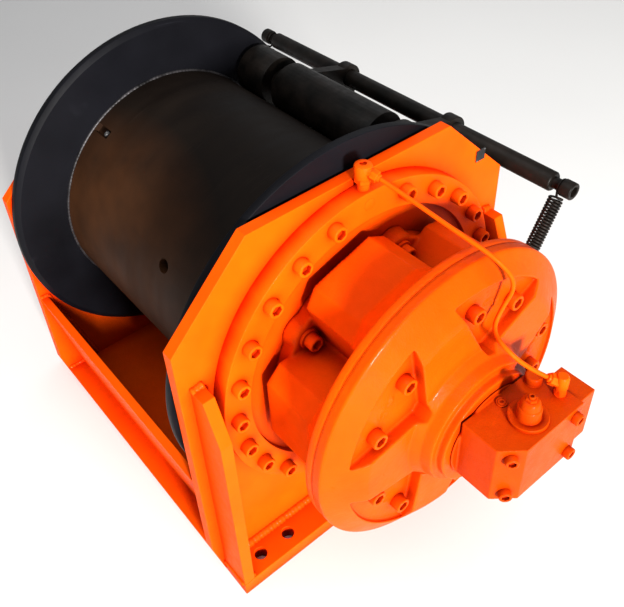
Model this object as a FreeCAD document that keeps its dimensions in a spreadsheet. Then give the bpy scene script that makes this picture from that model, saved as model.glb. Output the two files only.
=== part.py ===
"""Hydraulic winch: a cable drum driven through a planetary gearbox by a radial-piston motor.

Millimetres. +Z is up, the drum axis runs along X, and the motor is at the +X end. The
origin is at the underside of the frame, midway between the two end plates. Bodies that
are round about the drum axis are modelled about X and lifted to the axis height.
"""
import FreeCAD, Part
import math
import os
import re
import Sketcher

SIZES = {
    # frame
    "axis_height": 397, "plate_gap": 542, "plate_thick": 20, "plate_width": 640,
    "plate_top": 681, "shoulder_height": 549, "top_width": 373,
    "far_plate_top": 640, "far_shoulder": 490, "far_top_width": 300,
    "base_width": 604, "lower_corner": 80,
    "foot_reach": 58, "foot_thick": 30, "foot_hole": 11, "foot_hole_reach": 29,
    "foot_hole_outer": 248, "foot_hole_inner": 189,
    "channel_front": 320, "channel_top": 262, "channel_lip": 20, "web_front": 309.5,
    "web_back": 299.5, "channel_foot_back": 240,
    "beam_top": 256, "beam_edge": 15, "beam_foot": 276, "floor_top": 46, "floor_thick": 10,
    "floor_front": 312,
    "gusset_thick": 20, "gusset_top": 474, "gusset_land": 30, "gusset_knee": 400,
    "name_plate_y": 253, "name_plate_z": 586, "name_plate_side": 20, "name_plate_thick": 1.5,
    # drum
    "barrel_outer": 227, "barrel_inner": 213, "flange_outer": 326, "flange_thick": 18,
    "flange_gap": 6, "bevel_reach": 9, "bevel_depth": 5, "anchor_angle": 126,
    "pocket_start": -243, "pocket_end": -200, "pocket_half": 8, "pocket_depth": 10,
    "anchor_x": -211, "anchor_outer": 6, "anchor_height": 8,
    "side_hole": 12, "side_hole_x": 71, "side_hole_angle": 154,
    "web_start": 92, "web_thick": 18, "web_bore": 70, "web_hole": 10, "web_pitch": 115,
    "carrier_outer": 150, "carrier_thick": 36, "carrier_bore": 30, "carrier_hub": 60,
    "hub_plate": 20, "hub_boss": 57, "trunnion_end": 324,
    # gearbox housing and its screws
    "ring_outer": 272.6, "ring_thick": 28, "ring_inner": 226, "ring_recess": 10,
    "ring_pitch": 252, "ring_count": 24, "screw_shank": 8, "screw_head": 12,
    "head_height": 16, "hex_key": 7, "hole_slack": 0.5,
    "spigot_outer": 199.5, "housing_hole": 200, "tube_outer": 190, "tube_inner": 178,
    "tube_end": 130, "wall_thick": 12, "motor_spigot": 110, "spigot_start": 262,
    "drum_bearing_start": 226, "drum_bearing_width": 28, "washer_rim": 4, "washer_thick": 4,
    # planetary gears
    "gear_module": 4.5, "sun_teeth": 18, "planet_teeth": 27, "ring_teeth": 72,
    "gear_start": 155, "gear_width": 40, "planet_count": 3, "tooth_play": 0.35,
    "planet_pin": 22, "running_fit": 0.05,
    # brake
    "disc_thick": 4, "disc_pitch": 12, "disc_start": 226, "disc_count": 3,
    "disc_outer": 160, "plate_bore": 95, "piston_start": 262, "piston_thick": 14,
    "spring_circle": 140, "spring_coil": 8, "spring_count": 10, "spring_reach": 18,
    # motor
    "casing_start": 309, "casing_foot": 25, "casing_foot_outer": 178, "core_outer": 125,
    "crank_chamber": 105, "lobe_start": 330, "lobe_half": 76, "lobe_reach": 205,
    "lobe_corner": 24, "rim_start": 454, "rim_outer": 242, "rim_split": 469,
    "gasket_thick": 1, "mount_pitch": 160, "mount_angle": 144, "lobe_count": 5,
    "lobe_angle": 108, "cylinder_x": 402, "cylinder_outer": 36, "cylinder_bore": 30,
    "cylinder_low": 108, "cylinder_top": 182, "piston_low": 82, "piston_length": 62,
    "chamber_start": 350, "bore_start": 40, "hub_bore": 72, "pad_rise": 3, "seat_depth": 6,
    "rim_end": 487, "cover_slope_end": 513, "pad_outer": 192, "boss_outer": 88,
    "boss_end": 556, "recess_floor": 497, "recess_outer": 208, "recess_inner": 104,
    "recess_half": 26, "recess_tip": 8, "cover_pitch": 172, "cover_angle": 14,
    "shaft_journal": 34, "eccentric_offset": 16, "eccentric_outer": 62,
    "eccentric_ring": 10, "eccentric_width": 60, "ring_width": 52, "bearing_wall": 16,
    "front_bearing": 30, "rear_bearing": 24,
    # valve block
    "block_end": 640, "block_left": 62, "block_right": 82, "block_low": 40,
    "block_high": 65, "neck_outer": 74, "neck_length": 3, "block_hollow": 60,
    "corner_depth": 24, "corner_side": 30, "block_bolt": 9, "bolt_height": 10,
    "bolt_inset": 16, "rotor_length": 30,
    "cap_x": 607, "cap_y": 9, "cap_outer": 16, "cap_height": 42, "cap_seat": 27,
    "seat_height": 5, "nose_height": 8, "nose_outer": 12,
    "plug_x": 574, "plug_y": 61, "plug_outer": 12, "plug_height": 14,
    "small_plug_x": 570, "small_plug_y": 2, "small_plug_outer": 8, "small_plug_height": 2,
    "port_x": 607, "port_bore": 15, "port_depth": 28, "port_body_x": 580,
    "port_body_length": 54, "port_body_width": 34, "port_body_low": 32, "port_body_high": 59,
    "upper_port": 38, "lower_port": -8,
    # press roller
    "pivot_y": 340, "pivot_z": 215, "pivot_pin": 12, "arm_x": 139, "arm_thick": 24,
    "tie_y": 365, "tie_z": 532, "tie_outer": 17, "tie_end": 366, "hub_outer": 27,
    "neck_radius": 10, "end_neck": 18, "end_head": 15, "end_head_height": 20,
    "swing_width": 32, "reach_width": 40, "eye_wall": 12, "pivot_wall": 10,
    "roller_y": 212, "roller_z": 572, "roller_outer": 47, "roller_axle": 15,
    "roller_end": 231, "roller_clear": 3, "axle_stub": 4,
    "ear_thick": 12, "ear_gap": 2, "ear_height": 48, "ear_reach": 20, "pin_stub": 8,
    "lug_y": 292, "lug_z": 398, "lug_x": 381, "lug_outer": 9, "collar_outer": 14,
    "collar_thick": 6, "lug_length": 16, "spring_outer": 13, "hook_length": 18,
    # far end bearing
    "far_hole": 112, "far_housing_outer": 165, "far_housing_length": 42,
    "far_pitch": 135, "far_count": 8, "far_first": 22.5, "far_flange": 16,
    "far_neck": 22, "spigot_depth": 18, "trunnion_outer": 45, "bearing_outer": 80,
    "far_bearing_start": 316, "far_bearing_width": 46, "far_cap_thick": 14,
    "far_cap_lip": 8, "far_cap_outer": 96, "far_cap_step": 10,
    # shaft line, ports and brake line
    "crank_start": 300, "crank_end": 560, "line_outer": 4, "line_bend": 22,
    "elbow_x": 305, "elbow_stem": 9, "elbow_stem_height": 20, "elbow_head": 13,
    "elbow_head_height": 22, "union_x": 609, "union_y": 71, "union_outer": 9,
    "union_height": 34,
}

doc = FreeCAD.newDocument("hydraulic_winch")
sheet = doc.addObject("Spreadsheet::Sheet", "sizes")
for row, (name, number) in enumerate(SIZES.items(), start=1):
    sheet.set("A%d" % row, name)
    sheet.set("B%d" % row, str(number))
    sheet.setAlias("B%d" % row, name)
doc.recompute()

AXIS_X = FreeCAD.Vector(1, 0, 0)
ALONG_X = FreeCAD.Rotation(FreeCAD.Vector(1, 1, 1), 120)   # turns Z to X, X to Y, Y to Z
nodes = []


# ---------------------------------------------------------------- shared helpers

def bound(formula):
    """A formula of size names as an expression on the sheet: every name has an underscore."""
    return re.sub(r"[a-z]+(?:_[a-z]+)+", lambda found: "sizes." + found.group(0), str(formula))


def size(formula):
    """The present value of a formula of size names, in millimetres or plain number."""
    return float(sheet.evalExpression(bound(formula)))


def keep(node, label, x=None, y=None, z=None):
    """Name a sub-part and bind its place to the sheet."""
    node.Label = label
    for axis, formula in (("x", x), ("y", y), ("z", z)):
        if formula is not None:
            node.setExpression("Placement.Base." + axis, bound(formula))
    nodes.append(node)
    return node


def new_body(label):
    body = doc.addObject("PartDesign::Body", label + "_body")
    body.AllowCompound = True
    return body


def origin_feature(body, role):
    return next(item for item in body.Origin.OriginFeatures if item.Role == role)


def new_sketch(body, plane, offset=None):
    """A sketch on one of the body's own origin planes, moved along its normal if asked."""
    sketch = body.newObject("Sketcher::SketchObject", body.Name + "_sketch")
    sketch.AttachmentSupport = [(origin_feature(body, plane), "")]
    sketch.MapMode = "FlatFace"
    if offset is not None:
        sketch.setExpression("AttachmentOffset.Base.z", bound(offset))
    return sketch


def pin_point(sketch, geometry, end, across, upward):
    """Hold a sketch point at two formulas measured from the sketch's origin."""
    for kind, formula in (("DistanceX", across), ("DistanceY", upward)):
        index = sketch.addConstraint(
            Sketcher.Constraint(kind, -1, 1, geometry, end, size(formula)))
        sketch.setExpression("Constraints[%d]" % index, bound(formula))


def draw_polygon(sketch, corners):
    """A closed outline of straight lines through corners given as pairs of formulas."""
    places = [FreeCAD.Vector(size(across), size(upward), 0) for across, upward in corners]
    first = sketch.GeometryCount
    count = len(places)
    for index, place in enumerate(places):
        sketch.addGeometry(Part.LineSegment(place, places[(index + 1) % count]), False)
    for index, (across, upward) in enumerate(corners):
        before = first + (index - 1) % count
        sketch.addConstraint(Sketcher.Constraint("Coincident", before, 2, first + index, 1))
        pin_point(sketch, first + index, 1, across, upward)


def draw_circle(sketch, across, upward, radius):
    centre = FreeCAD.Vector(size(across), size(upward), 0)
    circle = Part.Circle(centre, FreeCAD.Vector(0, 0, 1), size(radius))
    geometry = sketch.addGeometry(circle, False)
    pin_point(sketch, geometry, 3, across, upward)
    index = sketch.addConstraint(Sketcher.Constraint("Radius", geometry, size(radius)))
    sketch.setExpression("Constraints[%d]" % index, bound(radius))


def draw_fan(sketch, inner, outer, half_angle, tip):
    """A closed fan about the sketch's X axis: blunt tip at inner, round edge at outer."""
    reach = size(outer)
    spread = math.radians(size(half_angle))
    whole = Part.Circle(FreeCAD.Vector(), FreeCAD.Vector(0, 0, 1), reach)
    edge = sketch.addGeometry(Part.ArcOfCircle(whole, -spread, spread), False)
    index = sketch.addConstraint(Sketcher.Constraint("Radius", edge, reach))
    sketch.setExpression("Constraints[%d]" % index, bound(outer))
    sketch.addConstraint(Sketcher.Constraint("Coincident", edge, 3, -1, 1))
    corner = (reach * math.cos(spread), reach * math.sin(spread))
    places = [FreeCAD.Vector(corner[0], corner[1], 0),
              FreeCAD.Vector(size(inner), size(tip), 0),
              FreeCAD.Vector(size(inner), -size(tip), 0),
              FreeCAD.Vector(corner[0], -corner[1], 0)]
    lines = [sketch.addGeometry(Part.LineSegment(start, end), False)
             for start, end in zip(places, places[1:])]
    joints = [(edge, 2, lines[0], 1), (lines[0], 2, lines[1], 1),
              (lines[1], 2, lines[2], 1), (lines[2], 2, edge, 1)]
    for joint in joints:
        sketch.addConstraint(Sketcher.Constraint("Coincident", *joint))
    pin_point(sketch, lines[1], 1, inner, tip)
    pin_point(sketch, lines[1], 2, inner, "-" + tip)
    for line, end, sign in ((lines[0], 1, ""), (lines[2], 2, "-")):
        formula = "%s%s * sin(%s * 1deg)" % (sign, outer, half_angle)
        index = sketch.addConstraint(
            Sketcher.Constraint("DistanceY", -1, 1, line, end, size(formula)))
        sketch.setExpression("Constraints[%d]" % index, bound(formula))


def pad(body, sketch, length, reverse=False):
    feature = body.newObject("PartDesign::Pad", body.Name + "_pad")
    feature.Profile = sketch
    feature.Reversed = reverse
    feature.setExpression("Length", bound(length))
    return feature


def pocket(body, sketch, length, reverse=False):
    """Cut a sketch out of the body, checking that it takes something away."""
    doc.recompute()
    before = body.Shape.Volume
    feature = body.newObject("PartDesign::Pocket", body.Name + "_pocket")
    feature.Profile = sketch
    feature.Reversed = reverse
    feature.setExpression("Length", bound(length))
    doc.recompute()
    assert body.Shape.Volume < before, "nothing cut from " + body.Name
    return feature


def revolve(body, corners):
    """A solid of revolution about X, its half section in (x, radius) formulas."""
    sketch = new_sketch(body, "XZ_Plane")
    draw_polygon(sketch, corners)
    feature = body.newObject("PartDesign::Revolution", body.Name + "_revolution")
    feature.Profile = sketch
    feature.ReferenceAxis = (sketch, ["H_Axis"])
    feature.Angle = 360
    return feature


def repeat_round(body, features, count, sweep=360):
    """Repeat features about the body's X axis."""
    pattern = body.newObject("PartDesign::PolarPattern", body.Name + "_pattern")
    pattern.Originals = features
    pattern.Axis = (origin_feature(body, "X_Axis"), [""])
    pattern.Angle = sweep
    pattern.setExpression("Occurrences", bound(count))
    body.Tip = pattern
    return pattern


def drill_circle(body, start, depth, radius, pitch, count, angle=0):
    """Holes along X on a pitch circle, the first at an angle from +Y towards +Z."""
    sketch = new_sketch(body, "YZ_Plane", start)
    draw_circle(sketch, "(%s) * cos((%s) * 1deg)" % (pitch, angle),
                "(%s) * sin((%s) * 1deg)" % (pitch, angle), radius)
    hole = pocket(body, sketch, depth, reverse=True)
    if size(count) > 1:
        repeat_round(body, [hole], count)
    doc.recompute()


def turned(label, corners, holes=(), z="axis_height"):
    """A piece turned about the drum axis, with circles of holes drilled along X."""
    body = new_body(label)
    revolve(body, corners)
    for hole in holes:
        drill_circle(body, *hole)
    return keep(body, label, z=z)


def ring(label, start, length, inner, outer):
    """A plain ring about the drum axis."""
    end = "%s + %s" % (start, length)
    return turned(label, [(start, inner), (start, outer), (end, outer), (end, inner)])


def screw_circle(label, seat, pitch, count, angle, sweep=360, shank=26, washer=0):
    """Socket head cap screws along X on a pitch circle, heads towards +X."""
    body = new_body(label)
    features = []
    steps = [("screw_head", "head_height", washer, False), ("screw_shank", shank, 0, True)]
    if washer:
        steps.append(("screw_head + washer_rim", washer, 0, False))
    for radius, length, start, reverse in steps:
        sketch = new_sketch(body, "YZ_Plane", start)
        draw_circle(sketch, pitch, 0, radius)
        features.append(pad(body, sketch, length, reverse))
    socket = new_sketch(body, "YZ_Plane", "head_height + %s" % washer)
    corner = "hex_key / cos(30deg) * %s(%ddeg)"
    hexagon = [("%s + %s" % (pitch, corner % ("cos", turn)), corner % ("sin", turn))
               for turn in range(0, 360, 60)]
    draw_polygon(socket, hexagon)
    features.append(pocket(body, socket, "head_height / 2"))
    repeat_round(body, features, count, sweep)
    body.Placement = FreeCAD.Placement(FreeCAD.Vector(), FreeCAD.Rotation(AXIS_X, angle))
    return keep(body, label, x=seat, z="axis_height")


def cylinder_along_x(name, start, length, radius, y=0, z=0):
    solid = doc.addObject("Part::Cylinder", name)
    solid.Placement = FreeCAD.Placement(FreeCAD.Vector(), ALONG_X)
    solid.setExpression("Radius", bound(radius))
    solid.setExpression("Height", bound(length))
    solid.setExpression("Placement.Base.x", bound(start))
    solid.setExpression("Placement.Base.y", bound(y))
    solid.setExpression("Placement.Base.z", bound(z))
    return solid


def cylinder_upright(name, x, y, z, radius, height):
    solid = doc.addObject("Part::Cylinder", name)
    solid.setExpression("Radius", bound(radius))
    solid.setExpression("Height", bound(height))
    solid.setExpression("Placement.Base.x", bound(x))
    solid.setExpression("Placement.Base.y", bound(y))
    solid.setExpression("Placement.Base.z", bound(z))
    return solid


def box(name, x, y, z, length, width, height):
    solid = doc.addObject("Part::Box", name)
    for prop, formula in (("Length", length), ("Width", width), ("Height", height)):
        solid.setExpression(prop, bound(formula))
    for axis, formula in (("x", x), ("y", y), ("z", z)):
        solid.setExpression("Placement.Base." + axis, bound(formula))
    return solid


def fuse(name, pieces):
    joined = doc.addObject("Part::MultiFuse", name)
    joined.Shapes = pieces
    return joined


def group(name, pieces):
    """Separate solids that share one node."""
    bundle = doc.addObject("Part::Compound", name)
    bundle.Links = pieces
    return bundle


def cut(name, base, tool):
    result = doc.addObject("Part::Cut", name)
    result.Base = base
    result.Tool = tool
    return result


def both_ends(label, build):
    """The same piece at the motor end and, mirrored in the mid plane, at the far end."""
    near = build(label + "_near")
    far = doc.addObject("Part::Mirroring", label + "_far")
    far.Source = near
    far.Normal = AXIS_X
    return group(label, [near, far])


# ---------------------------------------------------------------- welded frame

INNER = "plate_gap / 2"
OUTER = "plate_gap / 2 + plate_thick"
FAR_OUTER = "-plate_gap / 2 - plate_thick"


def end_plate(label, start, shoulder, top_width, top, hole, screws):
    """Eight-sided plate, narrower at the top and a little at the foot."""
    body = new_body(label)
    sketch = new_sketch(body, "YZ_Plane")
    right = [("base_width / 2", "-axis_height"),
             ("plate_width / 2", "lower_corner - axis_height"),
             ("plate_width / 2", shoulder + " - axis_height"),
             (top_width + " / 2", top + " - axis_height")]
    left = [("-" + across, upward) for across, upward in reversed(right)]
    draw_polygon(sketch, right + left)
    draw_circle(sketch, 0, 0, hole)
    pad(body, sketch, "plate_thick")
    drill_circle(body, 0, "plate_thick", *screws)
    return keep(body, label, x=start, z="axis_height")


def foot(label, start):
    """Bolt-down bar along the outside of an end plate, with two holes at each end."""
    body = new_body(label)
    sketch = new_sketch(body, "XY_Plane")
    half = "base_width / 2"
    draw_polygon(sketch, [(0, "-" + half), ("foot_reach", "-" + half),
                          ("foot_reach", half), (0, half)])
    pad(body, sketch, "foot_thick")
    holes = new_sketch(body, "XY_Plane", "foot_thick")
    for side in ("", "-"):
        for place in ("foot_hole_outer", "foot_hole_inner"):
            draw_circle(holes, "foot_hole_reach", side + place, "foot_hole")
    pocket(body, holes, "foot_thick")
    return keep(body, label, x=start)


def front_channel():
    """Front beam: a web leaning outwards on its foot, and the floor plate under the drum."""
    body = new_body("front_channel")
    section = new_sketch(body, "YZ_Plane")
    under = "floor_top - floor_thick"
    draw_polygon(section, [("-channel_front", "beam_top"),
                           ("beam_edge - channel_front", "beam_top"),
                           ("beam_edge - beam_foot", "floor_top"), ("web_back", "floor_top"),
                           ("web_back", under), ("-channel_foot_back", under),
                           ("-channel_foot_back", "0"), ("-base_width / 2", "0"),
                           ("-floor_front", "floor_top"), ("-beam_foot", "floor_top")])
    pad(body, section, "plate_gap")
    keep(body, "front_channel", x="-plate_gap / 2")


def rear_channel():
    """C section opening outwards: lip on top, upright web and a foot flange."""
    body = new_body("rear_channel")
    section = new_sketch(body, "YZ_Plane")
    draw_polygon(section, [("channel_front", "channel_top"), ("web_back", "channel_top"),
                           ("web_back", "foot_thick"), ("channel_foot_back", "foot_thick"),
                           ("channel_foot_back", "0"), ("base_width / 2", "0"),
                           ("web_front", "foot_thick"),
                           ("web_front", "channel_top - channel_lip"),
                           ("channel_front", "channel_top - channel_lip")])
    pad(body, section, "plate_gap")
    keep(body, "rear_channel", x="-plate_gap / 2")


def gussets(label, start, side):
    """Two upright plates between an end plate and its foot."""
    body = new_body(label)
    sketch = new_sketch(body, "XZ_Plane", "base_width / 2 - gusset_thick")
    outline = [("0", "foot_thick"), ("foot_reach", "foot_thick"),
               ("foot_reach", "gusset_knee"), ("gusset_land", "gusset_top"),
               ("0", "gusset_top")]
    draw_polygon(sketch, [(side + across, upward) for across, upward in outline])
    plate = pad(body, sketch, "gusset_thick")
    mirror = body.newObject("PartDesign::Mirrored", body.Name + "_mirror")
    mirror.Originals = [plate]
    mirror.MirrorPlane = (origin_feature(body, "XZ_Plane"), [""])
    body.Tip = mirror
    keep(body, label, x=start)


def spring_lug(name):
    """Round bar on the outer edge of a rear gusset, with a collar to hold the spring."""
    bar = cylinder_along_x(name + "_bar", OUTER + " + foot_reach",
                           "lug_x + lug_length - plate_gap / 2 - plate_thick - foot_reach",
                           "lug_outer", "lug_y", "lug_z")
    collar = cylinder_along_x(name + "_collar", "lug_x + lug_length - collar_thick + 2",
                              "collar_thick", "collar_outer", "lug_y", "lug_z")
    return fuse(name, [bar, collar])


def arm_bracket(name):
    """Two ears on the rear channel, one on each side of a swing arm."""
    ears = []
    for side, start in (("in", "arm_x - arm_thick / 2 - ear_gap - ear_thick"),
                        ("out", "arm_x + arm_thick / 2 + ear_gap")):
        plate = box(name + side, start, "web_front", "pivot_z - ear_height / 2", "ear_thick",
                    "pivot_y + ear_reach - web_front", "ear_height")
        ears.append(plate)
    hole = cylinder_along_x(name + "_hole", "arm_x - 2 * arm_thick", "4 * arm_thick",
                            "pivot_pin", "pivot_y", "pivot_z")
    return cut(name, fuse(name + "_ears", ears), hole)


def pivot_pin(name):
    return cylinder_along_x(name, "arm_x - arm_thick / 2 - ear_thick - pin_stub",
                            "arm_thick + 2 * (ear_thick + pin_stub)", "pivot_pin",
                            "pivot_y", "pivot_z")


def name_plate():
    plate = box("name_plate_box", OUTER, "name_plate_y", "name_plate_z", "name_plate_thick",
                "name_plate_side", "name_plate_side")
    keep(plate, "name_plate")


screw_hole = "screw_shank + hole_slack"
end_plate("motor_end_plate", INNER, "shoulder_height", "top_width", "plate_top",
          "housing_hole", (screw_hole, "ring_pitch", "ring_count"))
end_plate("far_end_plate", FAR_OUTER, "far_shoulder", "far_top_width", "far_plate_top",
          "far_hole", (screw_hole, "far_pitch", "far_count", "far_first"))
foot("motor_end_foot", OUTER)
foot("far_end_foot", FAR_OUTER + " - foot_reach")
front_channel()
rear_channel()
gussets("motor_end_gussets", OUTER, "")
gussets("far_end_gussets", FAR_OUTER, "-")
keep(both_ends("spring_lugs", spring_lug), "spring_lugs")
keep(both_ends("press_arm_brackets", arm_bracket), "press_arm_brackets")
keep(both_ends("press_pivot_pins", pivot_pin), "press_pivot_pins")
name_plate()


# ---------------------------------------------------------------- drum

FLANGE_END = "plate_gap / 2 - flange_gap"
FLANGE_START = "plate_gap / 2 - flange_gap - flange_thick"


def drum_flange(label, outer_face, inner_face):
    """Side flange with a wide bevel on the corner that faces the rope."""
    turned(label, [(outer_face, "barrel_inner"), (outer_face, "flange_outer"),
                   ("%s / abs(%s) * (abs(%s) + bevel_depth)" % ((inner_face,) * 3),
                    "flange_outer"),
                   (inner_face, "flange_outer - bevel_reach"), (inner_face, "barrel_inner")])


def drum_barrel():
    """Barrel tube with a pocket for the rope's end beside the far flange, and a side hole."""
    body = new_body("drum_barrel")
    far = "-(%s)" % FLANGE_START
    revolve(body, [(far, "barrel_inner"), (far, "barrel_outer"),
                   (FLANGE_START, "barrel_outer"), (FLANGE_START, "barrel_inner")])
    opening = new_sketch(body, "XY_Plane", "barrel_outer")
    draw_polygon(opening, [("pocket_start", "-pocket_half"), ("pocket_end", "-pocket_half"),
                           ("pocket_end", "pocket_half"), ("pocket_start", "pocket_half")])
    pocket(body, opening, "pocket_depth")
    body.Placement = FreeCAD.Placement(FreeCAD.Vector(), ANCHOR_TURN)
    hole = doc.addObject("Part::Cylinder", "barrel_side_hole")
    hole.setExpression("Radius", bound("side_hole"))
    hole.setExpression("Height", bound("flange_outer"))
    hole.Placement.Rotation = FreeCAD.Rotation(AXIS_X, size("side_hole_angle") - 90)
    hole.setExpression("Placement.Base.x", bound("side_hole_x"))
    for solid in (body, hole):
        solid.setExpression("Placement.Base.z", bound("axis_height"))
    keep(cut("drum_barrel", body, hole), "drum_barrel")


def rope_anchor():
    """Clamping screw on the floor of the rope's pocket, below the barrel's surface."""
    stud = doc.addObject("Part::Cylinder", "anchor_stud")
    stud.setExpression("Radius", bound("anchor_outer"))
    stud.setExpression("Height", bound("anchor_height"))
    out = ANCHOR_TURN.multVec(FreeCAD.Vector(0, 0, size("barrel_outer - pocket_depth")))
    place = FreeCAD.Vector(size("anchor_x"), out.y, size("axis_height") + out.z)
    stud.Placement = FreeCAD.Placement(place, ANCHOR_TURN)
    keep(stud, "rope_anchor")


ANCHOR_TURN = FreeCAD.Rotation(AXIS_X, size("anchor_angle") - 90)
drum_barrel()
drum_flange("drum_flange_motor_end", FLANGE_END, "(%s)" % FLANGE_START)
drum_flange("drum_flange_far_end", "-(" + FLANGE_END + ")", "(-(%s))" % FLANGE_START)
rope_anchor()
turned("drum_drive_web",
       [("web_start", "web_bore"), ("web_start", "barrel_inner"),
        ("web_start + web_thick", "barrel_inner"), ("web_start + web_thick", "web_bore")],
       [("web_start", "web_thick", "web_hole", "web_pitch", "6")])
turned("drum_far_hub",
       [("-trunnion_end", "0"), ("-trunnion_end", "trunnion_outer"),
        ("-(%s)" % FLANGE_START, "trunnion_outer"), ("-(%s)" % FLANGE_START, "barrel_inner"),
        ("hub_plate - (%s)" % FLANGE_START, "barrel_inner"),
        ("hub_plate - (%s)" % FLANGE_START, "trunnion_outer + bearing_wall"),
        ("hub_boss - (%s)" % FLANGE_START, "trunnion_outer + bearing_wall"),
        ("hub_boss - (%s)" % FLANGE_START, "0")])


# ---------------------------------------------------------------- far end bearing

FAR_END = FAR_OUTER + " - far_housing_length"
FAR_SEAT = FAR_OUTER + " - far_flange"
turned("far_bearing_housing",
       [(FAR_END, "bearing_outer"), (FAR_END, "bearing_outer + far_neck"),
        (FAR_SEAT, "bearing_outer + far_neck"), (FAR_SEAT, "far_housing_outer"),
        (FAR_OUTER, "far_housing_outer"), (FAR_OUTER, "far_hole - hole_slack"),
        (FAR_OUTER + " + spigot_depth", "far_hole - hole_slack"),
        (FAR_OUTER + " + spigot_depth", "bearing_outer")],
       [(FAR_SEAT, "far_flange", screw_hole, "far_pitch", "far_count", "far_first")])
ring("far_bearing", "-far_bearing_start", "far_bearing_width", "trunnion_outer + running_fit",
     "bearing_outer")
turned("far_bearing_cap", [(FAR_END + " - far_cap_thick", "0"),
                           (FAR_END + " - far_cap_thick", "far_cap_outer - far_cap_step"),
                           (FAR_END + " - far_cap_lip", "far_cap_outer"),
                           (FAR_END, "far_cap_outer"), (FAR_END, "0")])


def far_screws():
    """Screws that hold the far bearing housing, heads towards -X."""
    node = screw_circle("far_housing_screws", "0", "far_pitch", "far_count", 0)
    turn = FreeCAD.Rotation(FreeCAD.Vector(0, 0, 1), 180)
    spin = FreeCAD.Rotation(AXIS_X, size("far_first"))
    node.Placement = FreeCAD.Placement(FreeCAD.Vector(), spin.multiply(turn))
    node.setExpression("Placement.Base.x", bound(FAR_SEAT))
    node.setExpression("Placement.Base.z", bound("axis_height"))


far_screws()


# ---------------------------------------------------------------- gearbox

RING_FACE = OUTER + " + ring_thick"
RECESS_FACE = OUTER + " + ring_thick - ring_recess"
turned("gearbox_housing",
       [(OUTER, "spigot_outer"), (OUTER, "ring_outer"), (RING_FACE, "ring_outer"),
        (RING_FACE, "ring_inner"), (RECESS_FACE, "ring_inner"),
        (RECESS_FACE, "motor_spigot"), (RECESS_FACE + " - wall_thick", "motor_spigot"),
        (RECESS_FACE + " - wall_thick", "tube_inner"), ("tube_end", "tube_inner"),
        ("tube_end", "tube_outer"), ("spigot_start", "tube_outer"),
        ("spigot_start", "spigot_outer")],
       [(OUTER, "ring_thick", screw_hole, "ring_pitch", "ring_count"),
        (RECESS_FACE + " - wall_thick", "wall_thick", screw_hole, "mount_pitch",
         "lobe_count", "mount_angle")])
screw_circle("gearbox_flange_screws", RING_FACE, "ring_pitch", "ring_count - 1", 105,
             sweep=330, shank="ring_thick + plate_thick")
ring("drum_bearing", "drum_bearing_start", "drum_bearing_width", "tube_outer",
     "barrel_inner - running_fit")


def tooth_curves(teeth, half_angle, low, high, direction):
    """Half-tooth angle at any radius of a 20 degree involute, sampled from low to high."""
    pitch = size("gear_module") * teeth / 2
    base = pitch * math.cos(math.radians(20))

    def involute(radius):
        pressure = math.acos(min(1, base / radius))
        return math.tan(pressure) - pressure

    steps = 7
    flank = []
    for step in range(steps):
        radius = low + (high - low) * step / (steps - 1)
        angle = half_angle + direction * (involute(pitch) - involute(max(radius, base)))
        flank.append((radius, angle))
    return flank


def toothed_outline(teeth, low, high, half_angle, first_angle):
    """Closed wire of involute teeth: flanks as splines, tips and roots as arcs."""
    edges = []
    flank = tooth_curves(teeth, half_angle, low, high, 1)

    def place(radius, angle):
        return FreeCAD.Vector(radius * math.cos(angle), radius * math.sin(angle), 0)

    def arc(radius, start, end):
        middle = (start + end) / 2
        return Part.Arc(place(radius, start), place(radius, middle),
                        place(radius, end)).toShape()

    def spline(points):
        curve = Part.BSplineCurve()
        curve.interpolate(points)
        return curve.toShape()

    pitch_angle = 2 * math.pi / teeth
    for tooth in range(teeth):
        centre = math.radians(first_angle) + tooth * pitch_angle
        edges.append(spline([place(r, centre - a) for r, a in flank]))
        edges.append(arc(high, centre - flank[-1][1], centre + flank[-1][1]))
        edges.append(spline([place(r, centre + a) for r, a in reversed(flank)]))
        edges.append(arc(low, centre + flank[0][1], centre + pitch_angle - flank[0][1]))
    return Part.Wire(edges)


def gear_solid(outline, width):
    return Part.Face(outline).extrude(FreeCAD.Vector(0, 0, width))


def place_along_x(label, shape, x, y=0.0, z=0.0):
    """A shape modelled along Z, turned to lie along X at a place about the drum axis."""
    node = doc.addObject("Part::Feature", label + "_shape")
    node.Shape = shape
    place = FreeCAD.Vector(size(x), y, size("axis_height") + z)
    node.Placement = FreeCAD.Placement(place, ALONG_X)
    return keep(node, label)


def external_gear(teeth, bore, first_angle):
    """Spur gear with a little backlash, bored through."""
    module = size("gear_module")
    pitch = module * teeth / 2
    half_angle = math.pi / (2 * teeth) - size("tooth_play") / (4 * pitch)
    outline = toothed_outline(teeth, pitch - 1.25 * module, pitch + 0.95 * module,
                              half_angle, first_angle)
    solid = gear_solid(outline, size("gear_width"))
    if bore:
        solid = solid.cut(Part.makeCylinder(bore, size("gear_width")))
    return solid


def internal_gear(teeth, outer, first_space):
    """Ring gear: a plain disc with an involute shaped opening."""
    module = size("gear_module")
    pitch = module * teeth / 2
    half_angle = math.pi / (2 * teeth) + size("tooth_play") / (4 * pitch)
    opening = toothed_outline(teeth, pitch - 0.95 * module, pitch + 1.25 * module,
                              half_angle, first_space)
    disc = Part.makeCylinder(outer, size("gear_width"))
    return disc.cut(gear_solid(opening, size("gear_width")))


def planet_places():
    """Angle and offset of each planet about the drum axis."""
    distance = size("gear_module * (sun_teeth + planet_teeth) / 2")
    for index in range(int(size("planet_count"))):
        angle = 360.0 * index / size("planet_count")
        turn = math.radians(angle)
        yield index + 1, angle, distance * math.cos(turn), distance * math.sin(turn)


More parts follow.
